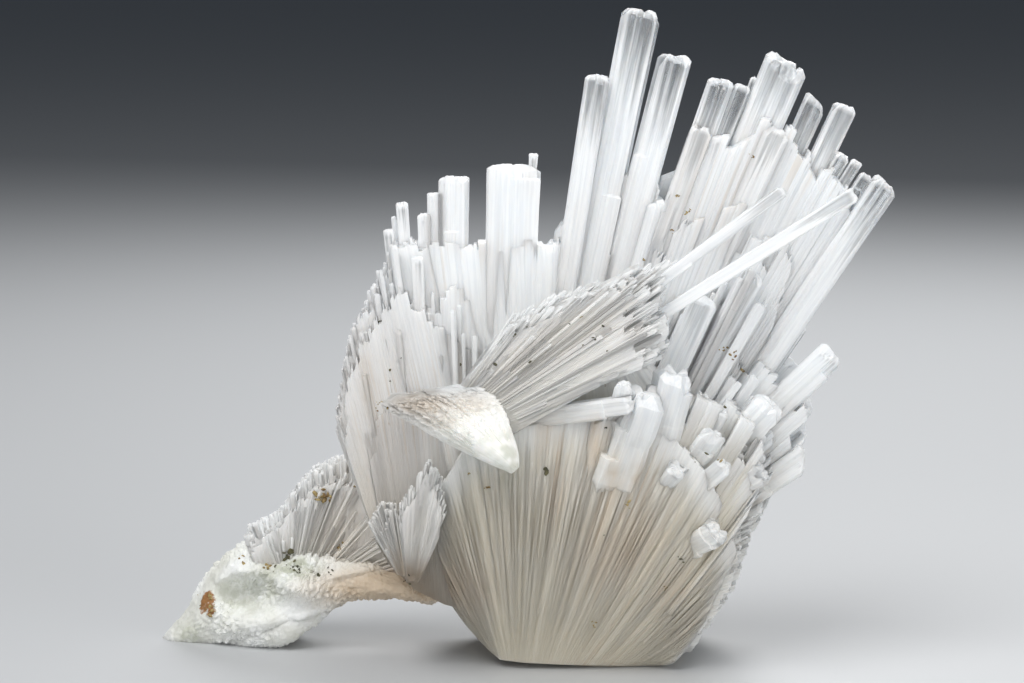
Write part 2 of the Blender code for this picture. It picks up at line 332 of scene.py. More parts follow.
def crystal_finish(
    name, warm, rusty, clear_end=None, tints=(WARM_SHADE, WARM_WHITE_IN_SHADE), relief=0.3
):
    """Milky scolecite. clear_end: how far below its end, in mm, a crystal starts and ends turning milky."""
    shader = Shader(name)
    grain = shader.attribute("grain")
    below_end, edge, clarity = shader.parts(shader.attribute("growth"))
    stripes = shader.noise(shader.stretched(grain, STRIPE), 1.6, 3.0, 0.6)
    veils = shader.noise(shader.stretched(grain, LONG_STRIPE), 0.5, 2.0)

    place = shader.node("NewGeometry").outputs["Position"]
    height = shader.parts(place)[2]
    wide = shader.noise(place, 26.0, 1.0)
    # Painted shade: towards the ground the body goes over to the darker warm tints. This is partly its own
    # brown and partly shade painted for the light that falls off low down.
    cool = (height * (1 / MM) + (wide - 0.5) * WARM_EDGE).ramp(SHADED_WARM_BELOW, COOL_ABOVE)
    warmth_and_shade = ((1.0 - cool) * 0.75 + warm).kept()
    # Painted light: near its end a crystal keeps more of the cool, paler whites, standing in for the cold
    # light on the tips.
    warmth_and_shade = warmth_and_shade * (0.35 + 0.65 * below_end.ramp(*TIP_COLD_LIGHT))
    body = shader.mixed(stripes.ramp(0.38, 0.62), COOL_SHADE, COOL_WHITE)
    streaks = (stripes.ramp(0.30, 0.70) * 0.8 + veils * 0.3).kept()
    warm_body = shader.mixed(streaks, *tints)
    body = shader.mixed(warmth_and_shade, body, warm_body)
    tan = wide.ramp(0.55, 0.72) * veils.ramp(0.50, 0.66) * rusty * 0.7
    body = shader.mixed(tan.kept(), body, TAN)
    flecks = shader.noise(place, 420.0, 1.0)
    body = with_stains(shader, body, flecks)

    frost = 1.0 - below_end.ramp(*FROST_REACH)
    grooves = shader.bump(stripes + flecks * frost * 1.5, relief, GROOVE_DEPTH)
    milky = shader.node(
        "BsdfPrincipled",
        {"subsurface_method": "RANDOM_WALK"},
        {
            "Base Color": body,
            "Roughness": 0.34 + 0.25 * stripes,
            "IOR": SCOLECITE_IOR,
            "Subsurface Weight": 0.7,
            "Subsurface Radius": MILK_GLOW,
            "Subsurface Scale": 1.0,
            "Normal": grooves,
        },
    )
    if clear_end is None:
        return shader.finished(milky.outputs[0])
    clear = shader.node(
        "BsdfPrincipled",
        {},
        {
            "Base Color": CLEAR_TINT,
            "Roughness": 0.14,
            "IOR": SCOLECITE_IOR,
            "Transmission Weight": 1.0,
            "Normal": grooves,
        },
    )
    wander = (veils - 0.5) * 20.0 + (stripes - 0.5) * 18.0
    milk = (below_end + wander).ramp(*clear_end)
    milk = (milk + frost * 0.8 + edge.ramp(0.45, 1.0) * 0.5 + (1.0 - clarity)).kept()
    milk = LEAST_MILK + milk * (1 - LEAST_MILK)
    both = shader.node("MixShader", {}, {0: milk, 1: clear.outputs[0], 2: milky.outputs[0]})
    return shader.finished(both.outputs[0])


clear_finish = crystal_finish("clear_scolecite", 0.0, 0.4, (1.0, 20.0))
glassy_finish = crystal_finish("glassy_scolecite", 0.0, 0.6, (-6.0, 7.0))
milky_finish = crystal_finish("milky_scolecite", 0.0, 0.6)
warm_shaded_finish = crystal_finish("warm_shaded_scolecite", 0.35, 1.0, relief=0.12)
cream_finish = crystal_finish(
    "cream_scolecite", 0.8, 0.5, tints=(CREAM_SHADE, CREAM_WHITE), relief=0.2
)
print("finishes:", clear_finish.name, glassy_finish.name, milky_finish.name)
print("finishes:", warm_shaded_finish.name, cream_finish.name)

# %% [markdown]
# ## Chalk
#
# The foot has altered to a fine white chalk. It is dull and hides the prisms, so its finish has no
# stripes: a fine powder roughens it, its tone wanders in soft clouds, and the low parts between soft
# lumps are painted darker as shade.

# %% Make the chalk
POWDER_RELIEF = 0.0006
CHALK_GLOW = (0.003, 0.003, 0.0028)


def chalky_finish(name):
    """Altered scolecite: fine white chalk over a faint radiating grain, dull and rough."""
    shader = Shader(name)
    grain = shader.attribute("grain")
    place = shader.node("NewGeometry").outputs["Position"]
    powder = shader.noise(place, 1500.0, 4.0, 0.65)
    lumps = shader.noise(place, 260.0, 3.0)
    clouds = shader.noise(place, 70.0, 2.0)
    body = shader.mixed(clouds.ramp(0.35, 0.65), CHALK_SHADE, CHALK)
    # Painted shade: the low parts of the lumps, where the bump sinks, are darkened towards the shade tint.
    body = shader.mixed((lumps.ramp(0.25, 0.5) * 0.8 + 0.2).kept(), CHALK_SHADE, body)
    body = with_stains(shader, body, shader.noise(grain, 0.55, 3.0, 0.65))
    surface = shader.node(
        "BsdfPrincipled",
        {"subsurface_method": "RANDOM_WALK"},
        {
            "Base Color": body,
            "Roughness": 0.62 + 0.2 * powder,
            "IOR": SCOLECITE_IOR,
            "Subsurface Weight": 0.3,
            "Subsurface Radius": CHALK_GLOW,
            "Subsurface Scale": 1.0,
            "Normal": shader.bump(powder * 0.5 + lumps, 0.6, POWDER_RELIEF),
        },
    )
    return shader.finished(surface.outputs[0])


chalk = chalky_finish("chalky_scolecite")
print("finish:", chalk.name)

# %% [markdown]
# ## Where the stains lie
#
# Rust, moss and clay have soaked into the cluster in soft patches, and the broad tan patch on the
# foot's limb is partly painted shade as well. Each patch is a place and two radii on the front drawing.
# A painted image would need a flat map of thousands of crystals, while a patch on the drawing needs
# only its place. Points far behind the front are left clean.

# %% Place the stains
Stain = namedtuple("Stain", "place radii kind strength")
RUSTY, MOSSY, TANNED = 0, 1, 2
STAIN_DEPTH = 17.0
STAINS = (
    Stain((-75.4, 10.4), (1.9, 3.2), RUSTY, 1.0),
    Stain((-55.8, 9.8), (1.4, 0.8), RUSTY, 0.6),
    Stain((-61.8, 7.8), (1.6, 1.0), RUSTY, 0.4),
    Stain((-49.0, 21.6), (2.6, 0.9), RUSTY, 0.5),
    Stain((-52.4, 32.0), (2.4, 2.0), RUSTY, 0.35),
    Stain((-70.0, 18.4), (3.4, 1.6), RUSTY, 0.3),
    Stain((-67.4, 12.4), (6.0, 3.4), MOSSY, 0.4),
    Stain((-58.0, 17.6), (4.4, 2.0), MOSSY, 0.8),
    Stain((-64.0, 14.0), (3.0, 4.0), MOSSY, 0.45),
    Stain((-79.0, 4.4), (2.2, 2.0), MOSSY, 0.6),
    # Partly painted shade: this patch gives the foot's limb its brown-grey tint and also darkens it for the
    # shade it lies in.
    Stain((-37.0, 13.6), (15.0, 4.4), TANNED, 1.3),
    Stain((-48.0, 25.0), (5.0, 8.0), TANNED, 0.45),
    Stain((7.0, 21.0), (7.0, 5.0), TANNED, 0.75),
    Stain((10.8, 33.0), (1.4, 4.4), TANNED, 1.0),
    Stain((-42.0, 46.0), (8.0, 18.0), TANNED, 0.30),
    Stain((-41.4, 49.6), (0.8, 4.4), RUSTY, 0.5),
    Stain((-39.4, 46.0), (0.6, 3.0), RUSTY, 0.4),
    Stain((-22.8, 37.6), (0.8, 2.6), RUSTY, 0.9),
    Stain((-19.8, 33.8), (0.4, 1.8), RUSTY, 0.9),
    Stain((5.6, 36.0), (1.2, 3.6), TANNED, 0.7),
    Stain((-5.4, 34.0), (1.4, 4.4), TANNED, 1.0),
    Stain((-44.0, 56.0), (1.6, 6.0), TANNED, 0.60),
    Stain((-33.0, 50.4), (6.0, 2.4), TANNED, 0.75),
    Stain((-24.0, 50.4), (5.0, 2.0), TANNED, 0.45),
    Stain((-29.0, 47.0), (4.0, 1.6), TANNED, 0.4),
    Stain((-14.4, 38.2), (1.6, 1.4), MOSSY, 0.5),
    Stain((2.0, 66.0), (10.0, 1.6), TANNED, 0.35),
    Stain((-12.0, 60.0), (3.0, 3.0), TANNED, 0.2),
    Stain((-10.0, 56.0), (4.0, 3.0), MOSSY, 0.2),
    Stain((16.6, 13.2), (3.6, 2.0), TANNED, 0.8),
    Stain((2.2, 43.8), (1.6, 3.4), TANNED, 1.0),
    Stain((-15.6, 40.0), (2.2, 4.0), MOSSY, 0.5),
    Stain((-22.0, 42.0), (7.0, 3.0), MOSSY, 0.25),
    Stain((-7.0, 45.0), (2.4, 2.4), TANNED, 0.9),
)


def stained(points):
    """How strongly each of the three stains lies on each point, as seen on the drawing."""
    places = drawn_places(points)
    shares = np.zeros((len(points), 3))
    for stain in STAINS:
        away = (places - stain.place) / stain.radii
        share = np.clip(1.6 - np.hypot(away[:, 0], away[:, 1]), 0, 1) * stain.strength
        shares[:, stain.kind] = np.maximum(shares[:, stain.kind], share)
    near = np.clip((STAIN_DEPTH - points[:, 1]) / 2.0, 0, 1)
    return shares * near[:, None]


print("stains:", len(STAINS))

# %% [markdown]
# ## How one crystal is made
#
# A real prism is a bundle of thinner ones side by side, so its long faces are grooved, some of the
# thin ones stop early and leave a ledge, and its end is a low rough crown. One closed mesh does all
# that: a grooved section is carried along the axis through a few stations, part of it steps inwards at
# each ledge, and the last ring has ragged heights. Stacking many thin prisms would look the same from
# afar and cost ten times the faces.
#
# A habit says how many grooves a side has, how far the corners are cut, how flat the section is, where
# its stations are, how many ledges it gets, how high the crown is, how thin the root is and how much
# the width wanders.

# %% Draw a section across a crystal
Habit = namedtuple("Habit", "grooves chamfer flatness stations ledges crown taper wobble")
THICK = Habit(5, 0.24, 0.74, (0.0, 0.3, 0.55, 0.75, 0.9), 3, 0.20, 0.70, 0.012)
SLAB = Habit(6, 0.10, 0.55, (0.0, 0.4, 0.7, 0.9), 4, 0.10, 0.80, 0.012)
PRISM = Habit(3, 0.18, 0.72, (0.0, 0.5, 0.85), 2, 0.20, 0.62, 0.015)
BLUNT = Habit(4, 0.26, 0.80, (0.0, 0.4, 0.7, 0.85), 4, 0.22, 0.95, 0.05)
NEEDLE = Habit(0, 0.0, 0.80, (0.0, 0.6), 0, 0.35, 0.45, 0.0)
NEEDLE_SIDES = 5
SHORTEST_GROOVED_SIDE = 0.3
GROOVE_SINKS = (0.0, 0.012, 0.03, 0.05)


def grooved_section(habit, chance):
    """The outline across a crystal one unit wide, and which of its points lie on an edge."""
    if habit.grooves == 0:
        turn = chance.random()
        angles = [2 * math.pi * (step + turn) / NEEDLE_SIDES for step in range(NEEDLE_SIDES)]
        points = [(0.5 * math.cos(a), 0.5 * habit.flatness * math.sin(a)) for a in angles]
        return np.array(points), np.ones(NEEDLE_SIDES)
    half = 0.5
    deep = 0.5 * habit.flatness
    cut = habit.chamfer * 0.5
    corners = [
        (half, -deep + cut), (half, deep - cut), (half - cut, deep), (-half + cut, deep),
        (-half, deep - cut), (-half, -deep + cut), (-half + cut, -deep), (half - cut, -deep),
    ]
    points = []
    edges = []
    for index, corner in enumerate(corners):
        start = np.array(corner)
        end = np.array(corners[(index + 1) % len(corners)])
        points.append(start)
        edges.append(1.0)
        side = end - start
        inward = np.array((-side[1], side[0])) / max(np.hypot(*side), 1e-6)
        cuts = habit.grooves + index % 2
        if np.hypot(*side) < SHORTEST_GROOVED_SIDE:
            cuts = 0
        for step in range(cuts):
            share = (step + chance.uniform(0.7, 1.3)) / (cuts + 1)
            sunk = chance.choice(GROOVE_SINKS) * chance.uniform(0.6, 1.4)
            points.append(start + side * share + inward * sunk)
            edges.append(chance.uniform(0.0, 0.55))
    return np.array(points), np.array(edges)


print("points across a thick crystal:", len(grooved_section(THICK, random.Random(1))[0]))

# %% [markdown]
# ## From a section to a crystal
#
# The section is carried from the root to the tip. Every piece below is a closed skin through rows of
# points, so one helper makes the faces for all of them. The crystals of one piece are gathered into one
# mesh, because a thousand objects would be slow to handle.

# %% Grow crystals
LEDGE_RUN = 0.004
LEDGE_RANGE = (0.35, 0.97)
CROWN_RING = 0.78


def skin(rows, around):
    """The faces of a closed skin through rows of points: a flat end, the sides and the other end."""
    faces = [tuple(range(around - 1, -1, -1))]
    for row in range(rows - 1):
        low = row * around
        for step in range(around):
            after = (step + 1) % around
            faces.append((low + step, low + after, low + around + after, low + around + step))
    faces.append(tuple((rows - 1) * around + step for step in range(around)))
    return faces


def stepped_rings(section, habit, chance):
    """The section at each station as rings one unit wide, and how far along the crystal each lies."""
    corners = len(section)
    ledges = sorted(chance.uniform(*LEDGE_RANGE) for _ in range(habit.ledges))
    stations = [(share, False) for share in habit.stations] + [(share, True) for share in ledges]
    shape = section.copy()
    rings = []
    shares = []
    for share, stepped in sorted(stations):
        wave = 1 + habit.wobble * chance.uniform(-1, 1)
        rings.append(shape * wave)
        shares.append(share)
        if stepped:
            run = chance.randint(2, max(2, corners // 3))
            first = chance.randrange(corners)
            shape = shape.copy()
            kept = chance.uniform(0.72, 0.92)
            for step in range(run):
                shape[(first + step) % corners] *= kept
            rings.append(shape * wave)
            shares.append(min(share + LEDGE_RUN, 0.995))
    for size in (1.0, CROWN_RING, chance.uniform(0.4, 0.6)):
        rings.append(shape * size)
        shares.append(1.0)
    return np.array(rings), np.array(shares)


def crowned(heights, drop, chance):
    """The heights of the rings with a rough crown: the last three fall by blocks of corners."""
    corners = heights.shape[1]
    block = max(1, corners // 9)
    falls = np.repeat([chance.random() ** 2 for _ in range(corners // block + 1)], block)[:corners]
    heights[-3] -= drop * (0.7 + 1.6 * falls)
    heights[-2] -= drop * (0.1 + 1.6 * falls)
    heights[-1] -= drop * np.roll(falls, block * 2) * 1.2
    return heights


class Growth:
    """Crystals gathered into one mesh, with the vectors that their finish reads."""

    def __init__(self, seed):
        self.chance = random.Random(seed)
        self.points = []
        self.faces = []
        self.grain = []
        self.growth = []
        self.count = 0

    def add(self, points, faces, grain, growth, crystals=1):
        start = sum(len(block) for block in self.points)
        self.points.append(points)
        self.faces.extend([tuple(start + corner for corner in face) for face in faces])
        self.grain.append(grain)
        self.growth.append(growth)
        self.count += crystals

    def crystal(self, root, tip, width, habit, clarity, lean=0.0, turn=0.0):
        """One crystal. lean tilts its end, and turn turns it about its axis."""
        chance = self.chance
        section, edges = grooved_section(habit, chance)
        corners = len(section)
        axis = tip - root
        length = float(np.linalg.norm(axis))
        along = axis / length
        across = np.cross((0.0, 1.0, 0.0), along)
        across = across / np.linalg.norm(across)
        through = np.cross(along, across)
        across, through = (
            across * math.cos(turn) + through * math.sin(turn),
            through * math.cos(turn) - across * math.sin(turn),
        )
        rings, shares = stepped_rings(section, habit, chance)
        spread = width * (habit.taper + (1 - habit.taper) * shares)
        flat = rings * spread[:, None, None]
        drop = habit.crown * width
        heights = np.repeat((shares * length)[:, None], corners, axis=1)
        heights = crowned(heights, drop, chance)
        heights[-3:] += lean * flat[-3:, :, 0]
        middle = np.array((0.0, 0.0, length - drop * 0.4))
        local = np.concatenate([np.dstack([flat, heights]).reshape(-1, 3), [middle]])
        points = root + local[:, :1] * across + local[:, 1:2] * through + local[:, 2:] * along
        points[:, 2] = np.maximum(points[:, 2], 0.0)

        faces = skin(len(shares), corners)[:-1]
        top = len(shares) * corners
        last = top - corners
        faces.extend((last + step, last + (step + 1) % corners, top) for step in range(corners))

        offset = np.array([chance.uniform(0, 400) for _ in range(3)])
        below_end = np.maximum(length - local[:, 2], 0.0)
        edge = np.concatenate([np.tile(edges, len(shares)), [0.0]])
        growth = np.column_stack([below_end, edge, np.full(len(local), clarity)])
        self.add(points, faces, local + offset, growth)

    def finish(self, name, material, slot="scolecite"):
        mesh = bpy.data.meshes.new(name)
        points = np.concatenate(self.points)
        mesh.from_pydata((points * MM).tolist(), [], self.faces)
        vectors = {
            "grain": np.concatenate(self.grain),
            "growth": np.concatenate(self.growth),
            "stains": stained(points),
        }
        for key, values in vectors.items():
            layer = mesh.attributes.new(key, "FLOAT_VECTOR", "POINT")
            layer.data.foreach_set("vector", values.astype(np.float32).ravel())
        mesh.validate()
        mesh.materials.append(material)
        piece = bpy.data.objects.new(name, mesh)
        bpy.context.scene.collection.objects.link(piece)
        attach(piece, "root")
        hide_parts(CLUSTER)
        triangles = sum(len(face) - 2 for face in self.faces)
        print(f"{name}: {self.count} crystals, {triangles} triangles")


print("rings up a needle:", len(NEEDLE.stations) + 3)

# %% [markdown]
# ## A sheaf: many fibres as one skin
#
# Near the roots the prisms are thinner than a hair and pressed together, so the surface is one silky
# skin that is grooved lengthwise. It is lofted through a few level or tilted ovals. A groove keeps its
# place round the oval from end to end, so all of them run together at the narrow end as the fibres do,
# and here and there a bundle has broken off and left a step.

# %% Carry a skin through ovals
Oval = namedtuple("Oval", "centre across through")


def smooth_noise(places, seed):
    """A noise between -1 and 1 at each place along a closed round."""
    shift = seed * 17.31
    return np.array([noise.noise(Vector((x, y, shift))) for x, y in places])


def unit_circle(count):
    angles = np.arange(count) * 2 * np.pi / count
    return np.column_stack([np.cos(angles), np.sin(angles)])


def between(ovals, share):
    """The oval at this share of the way, on a curve through the given ones."""
    step = share * (len(ovals) - 1)
    index = min(int(step), len(ovals) - 2)
    rest = step - index
    before, start = ovals[max(index - 1, 0)], ovals[index]
    end, after = ovals[index + 1], ovals[min(index + 2, len(ovals) - 1)]
    made = []
    for values in zip(before, start, end, after):
        b, s, e, a = (np.array(value, dtype=float) for value in values)
        straight = 2 * s + (e - b) * rest
        bent = (2 * b - 5 * s + 4 * e - a) * rest**2 + (3 * s - b - 3 * e + a) * rest**3
        made.append(0.5 * (straight + bent))
    return Oval(*made)


def spread_round(circle, oval):
    """Where the points of a circle lie round an oval, as steps from its centre."""
    return circle[:, :1] * oval.across + circle[:, 1:] * oval.through


print("skins can be carried through ovals")

# %% [markdown]
# ## Fibres on the skin
#
# Each fibre stands out by a noise of its own, on top of two smooth noises that gather the fibres into
# bundles. Some bundles sink from a certain height on, where they broke off. The end of the sheaf is
# ragged, and closes with a few smaller rings. Where the mineral crumbles, a cell noise raises grains.

# %% Loft a sheaf
Break = namedtuple("Break", "first run share depth")
BREAK_RANGE = (0.35, 0.97)
END_RINGS = (0.82, 0.6, 0.34, 0.12)
CRUMB_SIZE = 0.9
CRUMB_HEIGHT = 0.6


def fibre_ridges(circle, groove, own, seed):
    """How far each fibre stands out: with its bundle, with its neighbours and on its own."""
    fibres = len(circle)
    coarse = smooth_noise(circle * fibres / 40, seed)
    fine = smooth_noise(circle * fibres / 9, seed + 1)
    return groove * (1.3 * coarse + 0.8 * fine + 0.35 * own)


def broken_bundles(chips, fibres, groove, chance):
    return [
        Break(
            chance.randrange(fibres),
            chance.randint(2, fibres // 50),
            chance.uniform(*BREAK_RANGE),
            chance.uniform(0.4, 1.3) * groove * 2.5,
        )
        for _ in range(chips)
    ]


def crumbled(place, outwards, share, crumble):
    """The ring with grains raised on it, more of them towards the end."""
    rough = crumble * min(max(share * 2.2 - 0.9, 0.0), 1.0)
    cells = [noise.voronoi(Vector(point) / CRUMB_SIZE)[0] for point in place]
    raised = rough * np.array([min(near[1] - near[0], CRUMB_HEIGHT) for near in cells])
    return place + outwards * raised[:, None]


def end_direction(ovals):
    axis = np.array(ovals[-1].centre) - np.array(ovals[-2].centre)
    return axis / np.linalg.norm(axis)


def sheaf(ovals, fibres, rings, groove, ragged, chips, seed, crumble=0.0):
    """Fibres as one closed skin. chips says how many bundles broke off, and ragged how rough the end is."""
    growth = Growth(seed)
    chance = growth.chance
    circle = unit_circle(fibres)
    own = np.array([chance.uniform(-1, 1) for _ in range(fibres)])
    ridge = fibre_ridges(circle, groove, own, seed)
    wide = smooth_noise(circle * 1.5, seed + 2)
    blocks = np.array([chance.random() for _ in range(fibres)])
    width = max(2, fibres // 70)
    blocks = np.repeat(blocks[::width], width)[:fibres]
    breaks = broken_bundles(chips, fibres, groove, chance)

    points = []
    grain = []
    below = []
    end = ovals[-1]
    ahead = end_direction(ovals)
    reach = np.linalg.norm(np.array(end.centre) - np.array(ovals[0].centre))
    size = np.linalg.norm(end.across)
    for ring in range(rings + 1):
        share = ring / rings
        oval = between(ovals, share)
        radial = spread_round(circle, oval)
        lengths = np.linalg.norm(radial, axis=1, keepdims=True)
        grown = np.linalg.norm(oval.across) / size
        drift = smooth_noise(circle * 2.2 + share * 1.4, seed + 3)
        lift = ridge * min(1.0, 0.35 + grown * 0.65) + (wide + drift) * groove * 1.6
        for bundle in breaks:
            if share > bundle.share:
                lift[(bundle.first + np.arange(bundle.run)) % fibres] -= bundle.depth
        place = oval.centre + radial * (1 + lift[:, None] / lengths)
        if crumble:
            place = crumbled(place, radial / lengths, share, crumble)
        if ring == rings:
            place = place - ahead * (blocks * ragged)[:, None]
        points.append(place)
        grain.append(np.column_stack([circle * size, np.full(fibres, share * reach)]))
        below.append(np.full(fibres, (1 - share) * reach))
    for inset in END_RINGS:
        heights = smooth_noise(circle * 3 * inset + 5, seed + 4) + own * 0.3
        radial = spread_round(circle, end) * inset
        points.append(end.centre + radial + ahead * (heights * ragged * 0.6)[:, None])
        grain.append(np.column_stack([circle * size * inset, np.full(fibres, reach)]))
        below.append(np.zeros(fibres))
    faces = skin(len(points), fibres)
    points = np.concatenate(points)
    points[:, 2] = np.maximum(points[:, 2], 0.0)
    growing = np.column_stack([np.concatenate(below), np.zeros((len(points), 2))])
    growth.add(points, faces, np.concatenate(grain), growing)
    return growth


print("a sheaf ends in", len(END_RINGS), "rings")

# %% [markdown]
# ## The core of the body
#
# The main spray stands on its broken root and widens upwards. Its core is a sheaf through level ovals.
# Only a little of it is seen between the prisms that follow, but it closes the body inside.

# %% Grow the core of the body


def level_oval(height, across, depth, half_width, half_depth, turn):
    """An oval that lies level, turned about the vertical."""
    side = np.array((math.cos(turn), math.sin(turn), 0.0))
    front = np.array((-math.sin(turn), math.cos(turn), 0.0))
    return Oval(np.array((across, depth, height)), side * half_width, front * half_depth)


def drawn_oval(one, other, depth, thick):
    """An oval whose width runs between two drawn places, and whose thickness runs away from the eye."""
    start, end = lifted(one, depth[0]), lifted(other, depth[1])
    middle = (start + end) / 2
    return Oval(middle, (end - start) / 2, np.array((0.0, thick / 2, 0.0)))


MASS_TURN = math.radians(-18.0)
MASS = [
    level_oval(height, across, depth, wide, deep, MASS_TURN)
    for height, across, depth, wide, deep in (
        (0.0, 0.6, 2.6, 18.0, 11.0),
        (8.0, 0.4, 2.6, 23.0, 12.5),
        (18.0, 0.8, 2.2, 28.6, 15.0),
        (29.0, 1.0, 2.2, 30.4, 16.0),
        (41.0, 0.6, 1.0, 29.0, 17.0),
        (52.0, 0.0, -1.0, 24.0, 15.0),
        (61.0, 0.0, -1.0, 15.0, 9.0),
    )
]
sheaf(MASS, 360, 26, 0.17, 4.0, 20, 31).finish("root_mass", warm_shaded_finish)

# %% [markdown]
# ## The fan's core and the tusk
#
# A fan of needles leans forward out of the body, and in front of its root a thick cone of fibres has
# broken off: the tusk. Both are drawn by the two ends of each oval on the front drawing. The tusk's
# broad end crumbles, and its tip hangs down towards the viewer.

# %% Grow the fan's core
FAN = [
    drawn_oval((-23.0, 37.0), (-15.0, 36.0), (-9, -9), 8.0),
    drawn_oval((-25.6, 44.4), (-15.6, 41.0), (-15, -15), 12.0),
    drawn_oval((-26.4, 51.6), (-15.4, 45.2), (-19, -19), 13.0),
    drawn_oval((-21.5, 58.6), (-8.0, 49.6), (-19, -20), 13.0),
    drawn_oval((-14.5, 66.4), (0.0, 54.2), (-19, -21), 11.0),
    drawn_oval((-4.0, 71.4), (8.0, 58.2), (-17, -22), 11.0),
    drawn_oval((8.0, 74.6), (15.0, 61.0), (-16, -22), 9.0),
]
sheaf(FAN, 200, 18, 0.2, 2.5, 30, 33).finish("fan", cream_finish)

# %% Grow the tusk
TUSK = [
    drawn_oval((-14.6, 36.6), (-13.2, 37.8), (-34, -34), 1.6),
    drawn_oval((-18.4, 38.3), (-13.4, 41.0), (-33, -32), 7.0),
    drawn_oval((-24.2, 41.0), (-14.6, 45.0), (-31.4, -30), 11.6),
    drawn_oval((-30.4, 44.4), (-16.2, 48.8), (-30.2, -28.4), 14.0),
    drawn_oval((-36.4, 48.0), (-18.4, 51.8), (-29.8, -27.8), 13.0),
    drawn_oval((-41.4, 50.8), (-22.0, 54.2), (-30.4, -28), 8.4),
]
sheaf(TUSK, 400, 66, 0.12, 3.2, 160, 35, 2.0).finish("tusk", cream_finish)

# %% [markdown]
# ## The chalky foot
#
# The lower left end is altered scolecite: a beak with a smooth left face, a hollow, a chunky white lobe
# over it, a low dome and a smooth limb that runs right into the main spray. It is lofted from left to
# right through upright ovals. Then dabs push parts of it in or out, as a thumb would press clay, and a
# cell noise breaks the surface into grains. Sculpting by hand would do the same, but a dab is a line
# that can be read and changed.

# %% Press and roughen a loft
Dab = namedtuple("Dab", "place radii turn push")
PATCH_SHIFT = Vector((7, 3, 5))
UNDER_SURFACE = (9.0, 0.0, 0.0)


def lofted(ovals, around, rings):
    """Points in rings through the ovals, as rows."""
    circle = unit_circle(around)
    steps = [between(ovals, ring / rings) for ring in range(rings + 1)]
    return np.array([oval.centre + spread_round(circle, oval) for oval in steps])


def outward(rows):
    """The direction away from the form at each point of a loft."""
    round_it = np.roll(rows, -1, axis=1) - np.roll(rows, 1, axis=1)
    along_it = np.gradient(rows, axis=0)
    normal = np.cross(along_it, round_it)
    return normal / np.maximum(np.linalg.norm(normal, axis=2, keepdims=True), 1e-9)


def pressed(rows, dabs):
    """The rows with each dab pushed in or out where they face the viewer."""
    facing = np.clip(-(outward(rows) @ AHEAD) * 2.0, 0, 1)
    places = drawn_places(rows.reshape(-1, 3)).reshape(rows.shape[0], rows.shape[1], 2)
    moved = rows.copy()
    for dab in dabs:
        away = places - np.array(dab.place)
        turn = math.radians(dab.turn)
        right = away[:, :, 0] * math.cos(turn) + away[:, :, 1] * math.sin(turn)
        up = away[:, :, 1] * math.cos(turn) - away[:, :, 0] * math.sin(turn)
        share = np.clip(1 - (right / dab.radii[0]) ** 2 - (up / dab.radii[1]) ** 2, 0, 1)
        moved += (np.sqrt(share) * share * facing * dab.push)[:, :, None] * AHEAD
    return moved


def grained(rows, lumps, cells, cell_size):
    """The rows with soft lumps and a crust of small cells raised on them."""
    normal = outward(rows)
    lift = np.zeros(rows.shape[:2])
    for ring, row in enumerate(rows):
        for step, (x, y, z) in enumerate(row):
            place = Vector((x, y, z))
            near = noise.voronoi(place / cell_size)[0]
            soft = noise.noise(place * 0.14) * 0.6 + noise.noise(place * 0.4) * 0.4
            fine = noise.noise(place * 1.3)
            patch = min(max(noise.noise(place * 0.12 + PATCH_SHIFT) * 2.0 + 0.5, 0.0), 1.0)
            lift[ring, step] = lumps * (soft + 0.3 * fine) + cells * patch * min(near[1] - near[0], 0.5)
    return rows + normal * lift[:, :, None]


def add_loft(growth, rows):
    """Adds the loft to a growth as one closed skin."""
    points = rows.reshape(-1, 3).copy()
    points[:, 2] = np.maximum(points[:, 2], 0.0)
    faces = skin(len(rows), rows.shape[1])
    growth.add(points, faces, points, np.tile(UNDER_SURFACE, (len(points), 1)))


print("lofts can be pressed")

# %% Shape the foot
FOOT = [
    drawn_oval((-84.4, 2.9), (-84.6, 3.9), (17, 17), 1.6),
    drawn_oval((-83.0, 2.2), (-82.8, 6.0), (17, 17), 6.0),
    drawn_oval((-80.6, 1.9), (-79.4, 9.6), (17, 17), 10.0),
    drawn_oval((-76.0, 2.0), (-75.4, 16.0), (17, 17), 16.0),
    drawn_oval((-70.0, 2.2), (-69.8, 21.4), (16, 17), 20.0),
    drawn_oval((-63.5, 2.8), (-63.6, 24.0), (15, 17), 22.0),
    drawn_oval((-57.0, 4.6), (-57.0, 25.0), (14, 16), 21.0),
    drawn_oval((-52.2, 8.4), (-51.6, 23.0), (13, 15), 18.0),
    drawn_oval((-46.0, 11.8), (-46.0, 20.6), (11, 13), 15.0),
    drawn_oval((-38.0, 11.8), (-39.0, 17.6), (8, 10), 14.0),
    drawn_oval((-31.0, 11.2), (-31.0, 16.0), (4, 6), 13.0),
    drawn_oval((-26.0, 12.4), (-26.0, 17.0), (0, 2), 12.0),
]
FOOT_DABS = (
    Dab((-68.0, 12.4), (7.5, 4.6), 12.0, 5.4),
    Dab((-71.0, 12.6), (3.6, 3.2), 0.0, 1.6),
    Dab((-68.4, 17.8), (5.4, 2.6), -8.0, -2.6),
    Dab((-72.6, 16.0), (2.6, 2.0), 30.0, -1.4),
    Dab((-57.0, 14.2), (7.0, 3.6), -14.0, -3.4),
    Dab((-64.0, 6.2), (11.0, 3.6), 6.0, -2.4),
    Dab((-55.0, 8.2), (5.0, 2.0), 12.0, -1.8),
    Dab((-62.6, 19.6), (2.4, 2.6), 0.0, 1.6),
    Dab((-66.0, 19.4), (1.4, 1.2), 0.0, 1.2),
    Dab((-57.4, 17.4), (1.6, 0.8), -30.0, 1.4),
    Dab((-54.0, 16.4), (1.4, 0.8), -30.0, 1.2),
    Dab((-45.0, 17.2), (8.0, 1.2), 14.0, -1.2),
)
